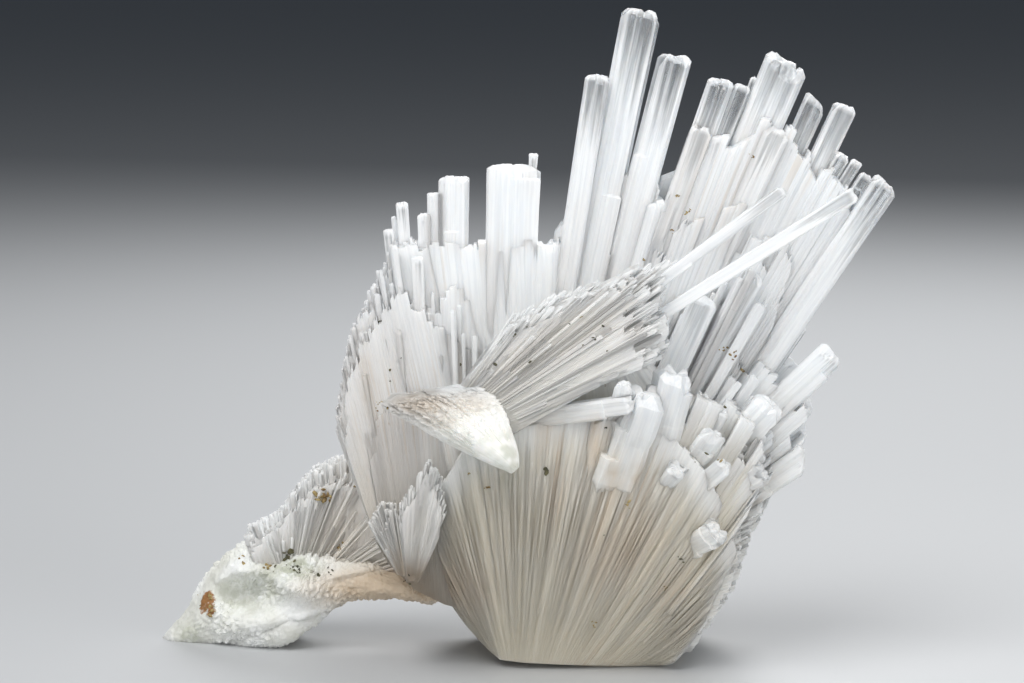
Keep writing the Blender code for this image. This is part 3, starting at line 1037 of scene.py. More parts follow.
FOOT_LOBE = [
    drawn_oval((-75.0, 2.6), (-75.0, 4.6), (16, 16), 4.0),
    drawn_oval((-67.0, 1.9), (-67.0, 8.4), (11, 12), 10.0),
    drawn_oval((-60.0, 2.6), (-60.4, 10.8), (8, 9), 10.0),
    drawn_oval((-55.4, 5.2), (-56.0, 11.6), (8, 9), 8.0),
    drawn_oval((-51.4, 8.2), (-51.8, 9.8), (9, 9), 3.0),
]
foot_growth = Growth(41)
foot_rows = grained(pressed(lofted(FOOT, 190, 200), FOOT_DABS), 0.8, 1.8, 1.3)
add_loft(foot_growth, foot_rows)
add_loft(foot_growth, grained(lofted(FOOT_LOBE, 80, 90), 0.5, 1.0, 1.1))
foot_growth.finish("foot_root", chalk, "chalky_scolecite")

# %% [markdown]
# ## Curtains of fused prisms
#
# Between the crystals that stand free, the prisms have grown together side by side into walls. Such a
# wall is a curtain: it is carried sideways, prism by prism, and each prism has a flat face between two
# bevels, a face that lies a little before or behind its neighbours, an end of its own height, and
# sometimes a front that stops early as a step. Several curtains lie one behind the other. A wall of
# separate prisms would show a gap at every joint.
#
# A curtain is given by its drawn root and tip lines, their depths, its half thickness at root and tip,
# its number of prisms, how far they step in and out, by how much their ends vary and how clear they
# are. Its layers say how far back each lies, how long it is and where it starts. A bundle is a number
# of neighbours that stand and end alike, and a bulge swells the curtain's middle towards the viewer.

# %% Vary the prisms of a curtain
Curtain = namedtuple(
    "Curtain",
    "roots tips depths thick prisms step stagger clarity layers bundle bulge",
    defaults=(1, 0.0),
)
Prism = namedtuple("Prism", "low high wide bold end fronts drops tilt offset grooves aside")
Column = namedtuple("Column", "inside bevel fade start length")
BEVEL = 0.2
GROOVE = 0.05
GROOVE_SINK = 0.12
GROOVED_WIDTH = 1.4
BACK_STAGGER = 0.14
BACK_JITTER = 1.6
DOME = 0.30
DOME_REACH = 12.0


def prism_shares(count, chance):
    """Where each prism starts and ends across a curtain, as shares of its width."""
    weights = [0.25 + chance.random() ** 2 * 2.2 for _ in range(count)]
    total = sum(weights)
    bounds = [0.0]
    for weight in weights:
        bounds.append(bounds[-1] + weight / total)
    return list(zip(bounds, bounds[1:]))


def varied_prisms(made, shift, full, tip_width, chance):
    """Each prism of one curtain in turn. Those of one bundle stand and end alike."""
    loose = 1.0 if shift > 0 else 0.0
    outer = abs(shift) / max(1.0, max(abs(layer[0]) for layer in made.layers))
    own = 1.0 if made.bundle == 1 else 0.3
    for number, (low, high) in enumerate(prism_shares(made.prisms, chance)):
        if number % made.bundle == 0:
            bundle_bold = chance.uniform(-1, 1) * made.step
            bundle_end = full * (1 - made.stagger * chance.random() ** 1.5)
            bundle_end *= 1 - BACK_STAGGER * loose * chance.random()
            from_rim = min(low, 1 - high) * tip_width
            bundle_end *= 1 - DOME * outer * (1 - min(1.0, from_rim / DOME_REACH)) ** 2
            aside = chance.uniform(-BACK_JITTER, BACK_JITTER) * loose
        wide = (high - low) * tip_width
        bold = bundle_bold + chance.uniform(-0.5, 0.5) * made.step * own
        end = bundle_end * (1 - made.stagger * own * 0.6 * chance.random() ** 1.5)
        fronts = [chance.uniform(0.35, 0.95) * end for _ in range(2)]
        drops = [chance.choice((0.0, 0.0, 0.5, 1.0)) * chance.random() * made.step for _ in range(2)]
        tilt = chance.uniform(-1, 1) * min(0.12, made.step * 0.7) * wide
        offset = [chance.uniform(0, 300) for _ in range(3)]
        grooves = [chance.uniform(0.3, 0.7)] if wide > GROOVED_WIDTH else []
        yield Prism(low, high, wide, bold, end, fronts, drops, tilt, offset, grooves, aside)


def prism_columns(prism):
    """The lines of points across a prism: where each lies, and how far it sinks between two prisms."""
    grooves = [(groove, GROOVE_SINK) for groove in prism.grooves]
    return [(0.0, 1.0), (BEVEL, 0.0)] + grooves + [(1 - BEVEL, 0.0), (1.0, 1.0)]


print("shares of two prisms:", prism_shares(2, random.Random(1)))

# %% [markdown]
# ## Hanging a curtain
#
# Each column of points runs up the front of its prism, over the end and down the back. The columns of
# all prisms, side by side, are the rows of one closed skin.

# %% Hang the curtains
STEP_RUN = 0.006
ROUNDED_RIM = 2.4
LOWER_STATIONS = (0.0, 0.5, 1.0)
BULGED_STATIONS = (0.0, 0.25, 0.5, 0.75, 1.0)
WIDEST_CROWN = 3.0
CROWN_SHARE = 0.22
WIDEST_BEVELLED = 4.0
THINNEST = 0.1


def along_line(line, share):
    """The place at this share of a drawn line, corner by corner."""
    step = min(max(share, 0.0), 1.0) * (len(line) - 1)
    index = min(int(step), len(line) - 2)
    rest = step - index
    start, end = np.array(line[index]), np.array(line[index + 1])
    return start + (end - start) * rest


def placed(line, share, depth):
    """The point at this share of a drawn line. A third number in the line adds to the depth."""
    point = along_line(line, share)
    if len(point) == 3:
        depth = depth + point[2]
    return lifted(point[:2], depth)


def drawn_length(line):
    return sum(float(np.linalg.norm(np.array(a) - np.array(b))) for a, b in zip(line, line[1:]))


def up_one_side(made, prism, column, side, chance):
    """One side of a column from root to tip, as rows: share of the length, place off the middle, grain."""
    start = column.start
    stop = prism.fronts[(side + 1) // 2]
    drop = prism.drops[(side + 1) // 2]
    crown = min(prism.wide, WIDEST_CROWN) * CROWN_SHARE
    stations = BULGED_STATIONS if made.bulge else LOWER_STATIONS
    lower = [start + (stop - start) * part for part in stations]
    upper = [stop + STEP_RUN, stop + (prism.end - stop) * 0.6, prism.end - crown / column.length]
    rows = []
    for index, value in enumerate(lower + upper):
        value = min(value, prism.end)
        half = made.thick[0] + (made.thick[1] - made.thick[0]) * value
        tilted = prism.bold + prism.tilt * (column.inside - 0.5) * side
        out = half + tilted * min(1.0, value * 1.6) - column.bevel
        if index >= len(lower):
            out -= drop
        wave = chance.uniform(-0.02, 0.02) * prism.wide
        bulge = made.bulge * 4 * value * (1 - value)
        rows.append((value, side * max((out + wave) * column.fade, THINNEST) - bulge, out * side))
    half = made.thick[1] * 0.45
    rows.append((prism.end, side * half * column.fade, half * side))
    return rows


def hang_layer(growth, made, shift, full, start):
    """One curtain. shift moves its ends back, full is its length and start is where it begins."""
    chance = growth.chance
    steep = min(1.0, 0.25 + made.step * 4)
    tip_width = drawn_length(made.tips)
    points = []
    grain = []
    growing = []
    columns = 0
    for prism in varied_prisms(made, shift, full, tip_width, chance):
        for inside, sunk in prism_columns(prism):
            share = prism.low + (prism.high - prism.low) * inside
            root = placed(made.roots, share, made.depths[0])
            tip = placed(made.tips, share, made.depths[1] + shift + prism.aside)
            axis = tip - root
            length = float(np.linalg.norm(axis))
            bevel = sunk * GROOVE * min(prism.wide, WIDEST_BEVELLED) * steep
            from_rim = min(share, 1 - share) * tip_width
            fade = math.sqrt(min(1.0, (from_rim + 0.04) / ROUNDED_RIM))
            column = Column(inside, bevel, fade, start, length)
            front, back = (up_one_side(made, prism, column, side, chance) for side in (-1, 1))
            clear = min(1.0, max(0.0, made.clarity + chance.uniform(-0.2, 0.2)))
            columns += 1
            for value, over, out in front + back[::-1]:
                points.append(root + axis * value + np.array((0.0, over, 0.0)))
                grain.append(np.array((share * tip_width, out, value * length)) + prism.offset)
                below = (prism.end - value) * length
                growing.append((max(below, 0.0), math.floor(sunk), clear))
    points = np.array(points)
    points[:, 2] = np.maximum(points[:, 2], 0.0)
    faces = skin(columns, len(points) // columns)
    growth.add(points, faces, np.array(grain), np.array(growing), made.prisms)


def hang_curtains(table, first_seed):
    for seed, (name, (made, finish)) in enumerate(table.items(), first_seed):
        growth = Growth(seed)
        for shift, full, start in made.layers:
            hang_layer(growth, made, shift, full, start)
        growth.finish(name, finish)


print("stations up a flat prism:", len(LOWER_STATIONS) + 4)

# %% [markdown]
# ## The walls at the top
#
# The upright slabs and the tall crystals rise from two level walls, and the thick group at the right
# from a third. They are the clearest of the fused parts.

# %% Hang the upper walls
UPPER_WALLS = {
    "middle_wall": (Curtain(
        ((-29, 13), (-19, 6), (-9, 4), (-5, 4)),
        ((-39, 83.2), (-33, 84), (-25, 83.6), (-15, 83.8), (-6, 84.0), (-2, 86)),
        (-2.6, 0.0), (3.0, 2.7), 44, 0.10, 0.02, 0.15,
        ((0.0, 1.0, 0.1), (4.0, 0.97, 0.1)),
    ), milky_finish),
    "tall_wall": (Curtain(
        ((-15.5, 3), (-12.5, 3)),
        ((-6, 86), (-2, 92), (3, 96), (8, 97), (13, 96), (16.5, 93.5)),
        (-0.8, 2.4), (2.0, 2.8), 26, 0.10, 0.02, 0.2,
        ((0.0, 1.0, 0.1), (2.5, 0.98, 0.1)),
    ), milky_finish),
    "right_face": (Curtain(
        ((-12, 4), (-9, 4), (-6, 4), (-3, 4), (0, 6)),
        ((13, 92.5), (16.6, 93), (22, 101), (26, 106), (31, 106), (36, 109), (41, 108), (45, 104),
         (48, 98), (51, 98), (53, 95), (55, 92), (58, 90)),
        (-1.6, -0.6), (2.4, 3.0), 56, 0.16, 0.04, 0.4,
        ((0.0, 1.0, 0.1), (4.0, 0.97, 0.1), (7.5, 0.9, 0.1)),
        2,
    ), glassy_finish),
    "right_inner_face": (Curtain(
        ((-10, 4), (-4, 6), (0, 8)),
        ((14, 84), (22, 90), (32, 92), (40, 88), (42, 80), (40, 70), (36, 60)),
        (-2.5, -2), (2.0, 2.6), 50, 0.2, 0.14, 0.2,
        ((-1.6, 0.8, 0.1), (0.0, 1.0, 0.1)),
        2,
    ), milky_finish),
}
hang_curtains(UPPER_WALLS, 300)

# %% [markdown]
# ## The left spray
#
# At the left the prisms are fine and lean away from each other, and their ends climb in steps.

# %% Hang the left spray
LEFT_SPRAY = {
    "left_face": (Curtain(
        ((-42, 24), (-39, 19), (-35, 16), (-31, 14), (-24, 10), (-18, 8)),
        ((-49.6, 45), (-49.2, 50), (-48.6, 57), (-47.0, 63.4), (-45.4, 68.6), (-42.6, 72.6),
         (-40.6, 77.2), (-38.4, 82.6), (-31, 83)),
        (-6, -2), (3.6, 2.0), 124, 0.10, 0.05, 0.3,
        ((-2.6, 0.93, 0.0), (0.0, 1.0, 0.0), (3.5, 0.96, 0.1)),
        3,
    ), milky_finish),
    "left_inner_face": (Curtain(
        ((-40, 20), (-34, 14), (-28, 11), (-20, 9)),
        ((-46.5, 52, 0), (-44.5, 61, 0), (-40, 67, 0), (-34, 72, 0), (-26, 75, 2), (-18, 75, 5)),
        (-7, -4.2), (3.4, 1.6), 96, 0.10, 0.08, 0.15,
        ((-1.4, 0.72, 0.0), (-0.6, 0.86, 0.0), (0.0, 1.0, 0.0)),
        4,
    ), milky_finish),
    "left_back_face": (Curtain(
        ((-40, 22), (-34, 15), (-26, 12), (-20, 9)),
        ((-47.5, 48), (-45.5, 62), (-40, 73), (-32, 80), (-20, 80)),
        (5, 7), (3.0, 2.4), 80, 0.5, 0.12, 0.3,
        ((0.0, 1.0, 0.0), (3.0, 0.88, 0.0), (5.5, 0.72, 0.0)),
        3,
    ), milky_finish),
}
hang_curtains(LEFT_SPRAY, 304)

# %% [markdown]
# ## The back
#
# The photo doesn't show the back, so it is a guess: shorter and coarser prisms in several layers, each
# a little lower than the one before it, as a spray of this mineral has.

# %% Hang the back
BACK_WALLS = {
    "back_face": (Curtain(
        ((-30, 12), (-20, 6), (-10, 4), (-2, 5)),
        ((-44, 66), (-34, 78), (-20, 82), (-4, 84), (8, 94), (24, 100), (38, 98), (46, 88), (44, 72)),
        (6, 8), (2.6, 3.0), 60, 0.4, 0.12, 0.35,
        ((0.0, 1.0, 0.1), (3.6, 0.88, 0.1), (7.0, 0.74, 0.1)),
        2,
    ), milky_finish),
    "back_low_face": (Curtain(
        ((-18, 0), (-9, 0), (3, 0), (15, 0)),
        ((-38, 32), (-30, 50), (-14, 64), (6, 68), (24, 62), (35, 46), (34, 22)),
        (12, 18), (3.0, 2.8), 76, 0.4, 0.12, 0.2,
        ((-4.0, 1.0, 0.0), (0.0, 0.92, 0.0), (4.0, 0.8, 0.0), (7.0, 0.62, 0.0)),
        3, -3.0,
    ), warm_shaded_finish),
    "right_back_face": (Curtain(
        ((0, 7), (2, 6), (5, 3)),
        ((38, 57), (40, 48), (37, 38), (34.5, 30), (31.5, 21), (25.5, 9)),
        (3, 4), (2.4, 3.0), 60, 0.3, 0.12, 0.25,
        ((0.0, 1.0, 0.1), (4.0, 0.95, 0.1), (8.0, 0.9, 0.1), (12.0, 0.8, 0.1)),
        3,
    ), warm_shaded_finish),
}
hang_curtains(BACK_WALLS, 307)

# %% [markdown]
# ## The low spray at the right
#
# It leans out to the right above a serrated edge that runs down to the root.

# %% Hang the low spray
LOW_SPRAY = {
    "low_face": (Curtain(
        ((-6, 6), (-3, 8), (0, 8), (3, 6), (6, 3)),
        ((34, 60), (41, 57), (44.6, 51), (45, 45), (43, 40), (38, 34), (36, 31), (32, 23)),
        (-4, -4), (2.4, 3.4), 56, 0.35, 0.10, 0.25,
        ((-4.0, 0.86, 0.1), (0.0, 1.0, 0.1), (5.0, 0.96, 0.1), (9.0, 0.86, 0.1)),
        2,
    ), milky_finish),
    "edge_face": (Curtain(
        ((-4, 6), (0, 4), (4, 2)),
        ((37.4, 32), (33.4, 24.6), (31.6, 18.8), (29.2, 12), (25.2, 6.6), (21.0, 0.8)),
        (-3, -5), (2.0, 3.0), 96, 0.2, 0.07, 0.3,
        ((-5.0, 0.97, 0.1), (0.0, 1.0, 0.1), (5.0, 0.98, 0.1), (10.0, 0.92, 0.1)),
        4,
    ), warm_shaded_finish),
}
hang_curtains(LOW_SPRAY, 310)

# %% [markdown]
# ## The silky body
#
# The body's front is one broad curtain of very thin fibres that bulges towards the viewer. Behind the
# blunt crystals lies a rougher ground with steps between its prisms.

# %% Hang the body
BODY = {
    "front_face": (Curtain(
        ((-19.8, 2.0, 5), (-17, -0.4, 0), (-12, -1.0, -1), (-4, -1.4, -1), (6, -1.6, 0), (15, -1.6, 2)),
        ((-29.6, 15, 19), (-30.6, 24, 16), (-29, 34, 12), (-24, 42, 6), (-14, 46, 2), (-4, 49, 1),
         (6, 50, -1), (16, 46, -1), (24, 38, 0), (28.4, 29, 6), (30.4, 21, 12), (26.8, 10.4, 15),
         (19.8, 1.2, 16)),
        (-9, -22), (1.6, 2.0), 340, 0.035, 0.01, 0.0,
        ((0.0, 1.0, 0.0),),
        5, 5.0,
    ), warm_shaded_finish),
    "block_ground": (Curtain(
        ((-6, 12, 0), (2, 10, 0), (10, 8, 1), (16, 6, 2)),
        ((2, 51, 0), (10, 55, 0), (18, 56, 2), (27, 51, 4), (35, 46, 8), (37, 38, 10), (32, 27, 9)),
        (-17, -25), (2.0, 2.0), 60, 0.5, 0.16, 0.1,
        ((0.0, 1.0, 0.1), (3.0, 1.04, 0.1)),
        3, 1.0,
    ), warm_shaded_finish),
}
hang_curtains(BODY, 312)

# %% [markdown]
# ## Fan, tuft and foot spray
#
# These three sprays are white and fine. Their layers lie before and behind a middle one and are
# shorter the further out they lie, so that the edge of each spray is rounded.

# %% Hang the fan, the tuft and the foot spray
WHITE_SPRAYS = {
    "fan_face": (Curtain(
        ((-27, 51), (-23, 49.6), (-19, 47.4), (-14, 44.6)),
        ((-21, 60), (-14.8, 67.2), (-5, 71.6), (3, 75), (11, 78.4), (16, 76), (15.6, 70),
         (17.2, 66), (16.6, 60), (8, 57), (0, 53)),
        (-25, -22), (2.6, 2.4), 130, 0.12, 0.10, 0.1,
        ((-5.0, 0.86, 0.0), (-2.6, 0.93, 0.0), (0.0, 1.0, 0.0), (5.0, 0.92, 0.0)),
        4,
    ), cream_finish),
    "tuft_face": (Curtain(
        ((-35.8, 14.8), (-34.4, 14.4), (-33.2, 15)),
        ((-37.6, 31), (-36.0, 34.0), (-33.6, 36.2), (-31.2, 40), (-29.0, 37.6), (-27.6, 33),
         (-27.4, 28)),
        (-17, -13), (0.9, 1.8), 90, 0.12, 0.08, 0.0,
        ((-0.8, 0.9, 0.0), (1.4, 1.0, 0.0)),
        3, 3.0,
    ), cream_finish),
    "foot_face": (Curtain(
        ((-64, 13), (-60, 12), (-55, 12), (-46, 13), (-36, 13)),
        ((-68.6, 25.0), (-65.4, 26.6), (-61, 29.6), (-57.4, 34.8), (-53.8, 38.6), (-50.4, 39.4),
         (-45, 41), (-38, 36), (-33, 24)),
        (16, 15), (5.0, 2.4), 110, 0.12, 0.08, 0.0,
        ((-4.5, 0.86, 0.1), (-2.8, 0.93, 0.1), (-0.8, 0.99, 0.1), (1.6, 1.0, 0.1), (6.0, 0.84, 0.1)),
        3, 1.5,
    ), cream_finish),
}

hang_curtains(WHITE_SPRAYS, 314)

# %% [markdown]
# ## Crystals that stand out
#
# The crystals that a viewer would point at are placed one by one: root and tip on the drawing, their
# depths, and their width. Their roots lie deep in the walls, so that no end hangs free. Each is turned
# a little about its axis, because no two of them grow quite alike.

# %% Place the tall crystals and the slabs
Lone = namedtuple("Lone", "root tip depths width habit clarity lean")
LONE_TURN = math.radians(7.0)


def standing(crystals, seed):
    growth = Growth(seed)
    for one in crystals:
        growth.crystal(
            lifted(one.root, one.depths[0]),
            lifted(one.tip, one.depths[1]),
            one.width,
            one.habit,
            one.clarity,
            one.lean,
            growth.chance.uniform(-LONE_TURN, LONE_TURN),
        )
    return growth


TALL = (
    Lone((-15, 3), (2.6, 116.4), (-1, -2), 4.8, THICK, 0.95, 0.0),
    Lone((-14, 3), (12.0, 129.4), (0, 2), 8.6, THICK, 1.0, 0.0),
    Lone((-13, 3), (18.2, 120.4), (0, 1), 6.4, THICK, 1.0, 0.2),
)
SLABS = (
    Lone((-17, 6), (-14.2, 98.4), (-2, 0), 10.6, SLAB, 0.35, 0.0),
    Lone((-10.8, 92), (-10.3, 100.6), (0, 0), 1.9, PRISM, 1.0, 0.0),
    Lone((-27, 12), (-26.2, 96.0), (-1, -0.8), 5.8, SLAB, 0.55, 0.0),
    Lone((-29, 12), (-30.0, 92.8), (-1, -1.2), 3.2, SLAB, 0.6, 0.0),
    Lone((-30, 12), (-32.2, 88.6), (-1, -1.4), 2.8, PRISM, 0.6, 0.0),
    Lone((-31, 14), (-36.6, 90.8), (-1, 0), 2.7, PRISM, 1.0, 0.0),
    Lone((-32, 14), (-39.4, 85.4), (-1, -1), 2.1, PRISM, 1.0, 0.0),
    Lone((-31, 14), (-38.3, 88.0), (0, 1), 1.3, NEEDLE, 1.0, 0.0),
    Lone((-31, 30), (-33.6, 80.0), (-5, -5.6), 2.4, PRISM, 1.0, 0.0),
)
standing(TALL, 11).finish("tall_crystals", clear_finish)
standing(SLABS, 12).finish("upright_slabs", glassy_finish)

# %% [markdown]
# ## Crystals at the right
#
# A thick group stands at the upper right, with a comb of thin ones and a long one along its edge. The
# low spray has blades that reach out past its wall.

# %% Place the crystals at the right
GROUP = (
    Lone((-12, 4), (27.6, 115.6), (0, -1), 5.4, THICK, 1.0, 0.0),
    Lone((-11, 4), (31.8, 114.2), (0, 0), 3.2, THICK, 1.0, 0.0),
    Lone((-8, 4), (34.2, 115.8), (4, 4), 2.0, PRISM, 1.0, 0.0),
    Lone((-8, 4), (40.2, 119.6), (0, 2), 9.6, THICK, 0.9, -0.15),
    Lone((-2, 4), (46.2, 111.4), (1, 3), 4.8, THICK, 1.0, -0.4),
    Lone((2, 4), (52.4, 110.2), (0, 2), 4.8, THICK, 0.85, 0.1),
    Lone((-13, 4), (23.6, 106.2), (-1, -2.4), 5.2, THICK, 0.5, 0.0),
    Lone((-8, 4), (38.6, 105.8), (-1, -3.0), 5.8, THICK, 0.45, 0.0),
    Lone((-8, 4), (51.8, 100.4), (0, 0), 3.0, PRISM, 1.0, 0.0),
    Lone((-6, 4), (54.6, 99.0), (0, 0), 2.4, PRISM, 1.0, 0.0),
    Lone((-4, 4), (56.6, 96.4), (0, -1), 2.6, PRISM, 1.0, 0.0),
    Lone((-1, 4), (60.4, 94.8), (-2, -4), 5.6, THICK, 1.0, -0.2),
    Lone((4, 8), (43.4, 66.2), (0, 2), 3.0, PRISM, 0.7, 0.0),
    Lone((-5, 6), (34.2, 77.0), (-5, -7.5), 4.4, PRISM, 0.5, -0.4),
    Lone((-6, 6), (24.0, 72.0), (-6, -9), 6.0, PRISM, 0.4, 0.0),
)
LOW = (
    Lone((-6, 6), (42.2, 59.0), (2, 6), 5.8, THICK, 0.6, 0.0),
    Lone((-8, 8), (49.8, 60.8), (-3, -6), 6.0, THICK, 0.7, -0.1),
    Lone((0, 8), (45.2, 51.2), (-2, -2), 4.2, PRISM, 0.5, -0.3),
    Lone((0, 9), (44.2, 45.4), (-2, 0), 3.2, PRISM, 0.8, -0.6),
    Lone((0, 10), (44.0, 39.8), (-6, -8), 5.2, PRISM, 0.7, -0.7),
    Lone((2, 10), (35.4, 31.6), (-5, -8), 4.6, PRISM, 0.5, -0.3),
)
standing(GROUP, 13).finish("right_group", clear_finish)
standing(LOW, 14).finish("low_spray", glassy_finish)

# %% [markdown]
# ## Blunt crystals and lances
#
# Frosted blunt crystals and a short bar sit on the body under the fan, and two thin bright crystals
# shoot out of the fan's end.

# %% Place the blunt crystals and the lances
BLOCKS = (
    Lone((1, 22), (12.0, 53.2), (-17, -29), 8.8, BLUNT, 0.15, 0.1),
    Lone((10, 26), (18.6, 57.0), (-15.5, -26), 8.4, BLUNT, 0.15, -0.1),
    Lone((4, 40), (8.0, 54.6), (-18, -31), 3.8, BLUNT, 0.2, 0.0),
    Lone((16, 30), (27.4, 49.4), (-10, -22), 3.6, BLUNT, 0.3, 0.0),
    Lone((14, 28), (26.2, 44.8), (-12, -25), 5.0, BLUNT, 0.3, 0.0),
    Lone((18, 30), (37.8, 50.6), (-10, -16), 6.8, BLUNT, 0.3, 0.0),
    Lone((14, 26), (28.2, 38.6), (-12, -25), 3.8, BLUNT, 0.3, 0.0),
    Lone((10, 26), (19.2, 37.4), (-12, -27), 4.8, BLUNT, 0.3, 0.0),
    Lone((18, 26), (36.0, 37.2), (-12, -18), 4.4, BLUNT, 0.3, 0.0),
    Lone((12, 18), (27.0, 25.0), (-11, -23), 5.4, BLUNT, 0.3, 0.0),
    Lone((-11, 47.6), (9.4, 50.2), (-20, -31.6), 3.8, BLUNT, 0.2, 0.0),
)
LANCES = (
    Lone((-16, 52), (40.0, 93.2), (-24, -15), 2.6, PRISM, 0.55, 0.0),
    Lone((-14, 50), (54.0, 92.4), (-24, -13), 3.0, PRISM, 0.75, 0.0),
)
standing(BLOCKS, 15).finish("blunt_blocks", milky_finish)
standing(LANCES, 16).finish("fan_lances", clear_finish)

# %% [markdown]
# ## Sprays
#
# A spray is a sheet of crystals whose roots lie on one drawn line and whose ends lie on another. Its
# crystals are spread through a thickness, and those away from its middle stop short, so that from the
# front and from behind their ends lie like shingles. The sprays roughen the ends of the curtains, which
# alone would look combed.

# %% Grow a spray
Spray = namedtuple(
    "Spray", "roots tips depths count widths habit clarity thick short stagger start finish"
)
SPRAY_TURN = math.radians(16.0)


def grown(spray, seed):
    growth = Growth(seed)
    chance = growth.chance
    for number in range(spray.count):
        share = (number + chance.random()) / spray.count
        aside = chance.uniform(-1, 1)
        foot = lifted(along_line(spray.roots, share), spray.depths[0] + aside * spray.thick[0])
        tip = lifted(along_line(spray.tips, share), spray.depths[1] + aside * spray.thick[1])
        full = 1 - spray.short * abs(aside) * chance.random()
        full = full - spray.stagger * chance.random() ** 2
        end = foot + (tip - foot) * full
        start = foot + (tip - foot) * spray.start
        width = spray.widths[0] + (spray.widths[1] - spray.widths[0]) * chance.random() ** 1.6
        turn = chance.uniform(-SPRAY_TURN, SPRAY_TURN)
        growth.crystal(start, end, width, spray.habit, spray.clarity, 0.0, turn)
    return growth


def grow_sprays(sprays, first_seed):
    for seed, (name, spray) in enumerate(sprays.items(), first_seed):
        grown(spray, seed).finish(name, spray.finish)


print("a spray's crystals turn by up to", round(math.degrees(SPRAY_TURN)), "degrees")

# %% [markdown]
# ## Needles at the left
#
# Fine glassy needles end along the left edge, with shorter ones before them and thick prisms behind.

# %% Grow the needles at the left
LEFT_SPRAYS = {
    "left_needles": Spray(
        ((-42, 24), (-39, 19), (-35, 17), (-31, 15), (-28, 14)),
        ((-49.6, 46), (-49.2, 54), (-47.6, 64), (-44.4, 71), (-41.4, 77.2), (-38.5, 84)),
        (-3, -2), 90, (0.8, 1.8), NEEDLE, 0.7, (2, 4), 0.1, 0.06, 0.2,
        glassy_finish,
    ),
    "left_front": Spray(
        ((-40, 21), (-36, 17), (-32, 14), (-26, 12), (-22, 10)),
        ((-46.5, 51), (-43, 62), (-38, 70), (-31, 74), (-22, 72)),
        (-6.6, -5.8), 24, (0.8, 1.8), NEEDLE, 0.4, (1.6, 1.6), 0.4, 0.2, 0.1,
        milky_finish,
    ),
    "left_back": Spray(
        ((-38, 22), (-34, 17), (-30, 14), (-24, 10), (-18, 8)),
        ((-46, 52), (-43, 62), (-37, 73), (-29, 80), (-18, 80)),
        (6, 11), 30, (2.5, 6.0), PRISM, 0.4, (2, 3), 0.2, 0.1, 0.1,
        milky_finish,
    ),
}
grow_sprays(LEFT_SPRAYS, 100)

# %% [markdown]
# ## Prisms at the back
#
# These are guesses too, since the photo doesn't show them: a loose fan of thick prisms above and
# another below it, which break up the back's layers.

# %% Grow the prisms at the back
BACK_SPRAYS = {
    "back_fan": Spray(
        ((-20, 8), (-12, 5), (-4, 5), (2, 5)),
        ((-14, 82), (2, 96), (20, 98), (36, 94), (42, 84), (40, 66)),
        (7, 14), 26, (3.0, 8.0), PRISM, 0.6, (2, 3), 0.1, 0.1, 0.2,
        milky_finish,
    ),
    "back_low": Spray(
        ((-17, 0), (-8, 0), (4, 0), (14, 0)),
        ((-32, 36), (-20, 58), (0, 68), (20, 64), (34, 48), (32, 22)),
        (12, 22), 30, (3.0, 6.0), PRISM, 0.4, (2, 3), 0.2, 0.2, 0.0,
        warm_shaded_finish,
    ),
}
grow_sprays(BACK_SPRAYS, 103)

# %% [markdown]
# ## Needles and prisms at the right
#
# The serrated lower edge is hundreds of short needles, and thicker prisms fill the walls above it.

# %% Grow the sprays at the right
RIGHT_SPRAYS = {
    "right_edge": Spray(
        ((-2, 8), (-2, 7), (0, 5), (2, 3), (5, 1)),
        ((36, 30), (33, 24), (31.2, 18.5), (28.4, 11.6), (24.6, 6.4), (20.6, 0.8)),
        (-1, -3), 260, (0.4, 1.3), NEEDLE, 0.5, (3, 9), 0.05, 0.08, 0.3,
        glassy_finish,
    ),
    "right_back": Spray(
        ((0, 12), (0, 9), (0, 6), (2, 4)),
        ((37, 50), (36, 38), (32, 24), (24, 8)),
        (3, 12), 20, (3.0, 6.0), PRISM, 0.4, (2, 3), 0.3, 0.2, 0.2,
        milky_finish,
    ),
    "right_wall": Spray(
        ((-4, 6), (-2, 7), (0, 8), (2, 9)),
        ((20, 82), (36, 84), (41, 74), (36, 58)),
        (-6, -9), 14, (1.6, 4.0), PRISM, 0.5, (2, 3), 0.35, 0.25, 0.25,
        milky_finish,
    ),
    "low_wall": Spray(
        ((-4, 8), (-2, 9), (0, 10)),
        ((30, 56), (36, 54), (38, 48), (38, 42), (34, 34)),
        (-8, -14), 50, (1.2, 3.4), PRISM, 0.4, (2, 5), 0.3, 0.25, 0.2,
        milky_finish,
    ),
}
grow_sprays(RIGHT_SPRAYS, 105)

# %% [markdown]
# ## Needles of the fan and the tuft
#
# The fan's outline is a fringe of very thin needles, with more of them lying on its face. The white
# tuft at the left opens upwards from a point, so its roots lie on a very short line.

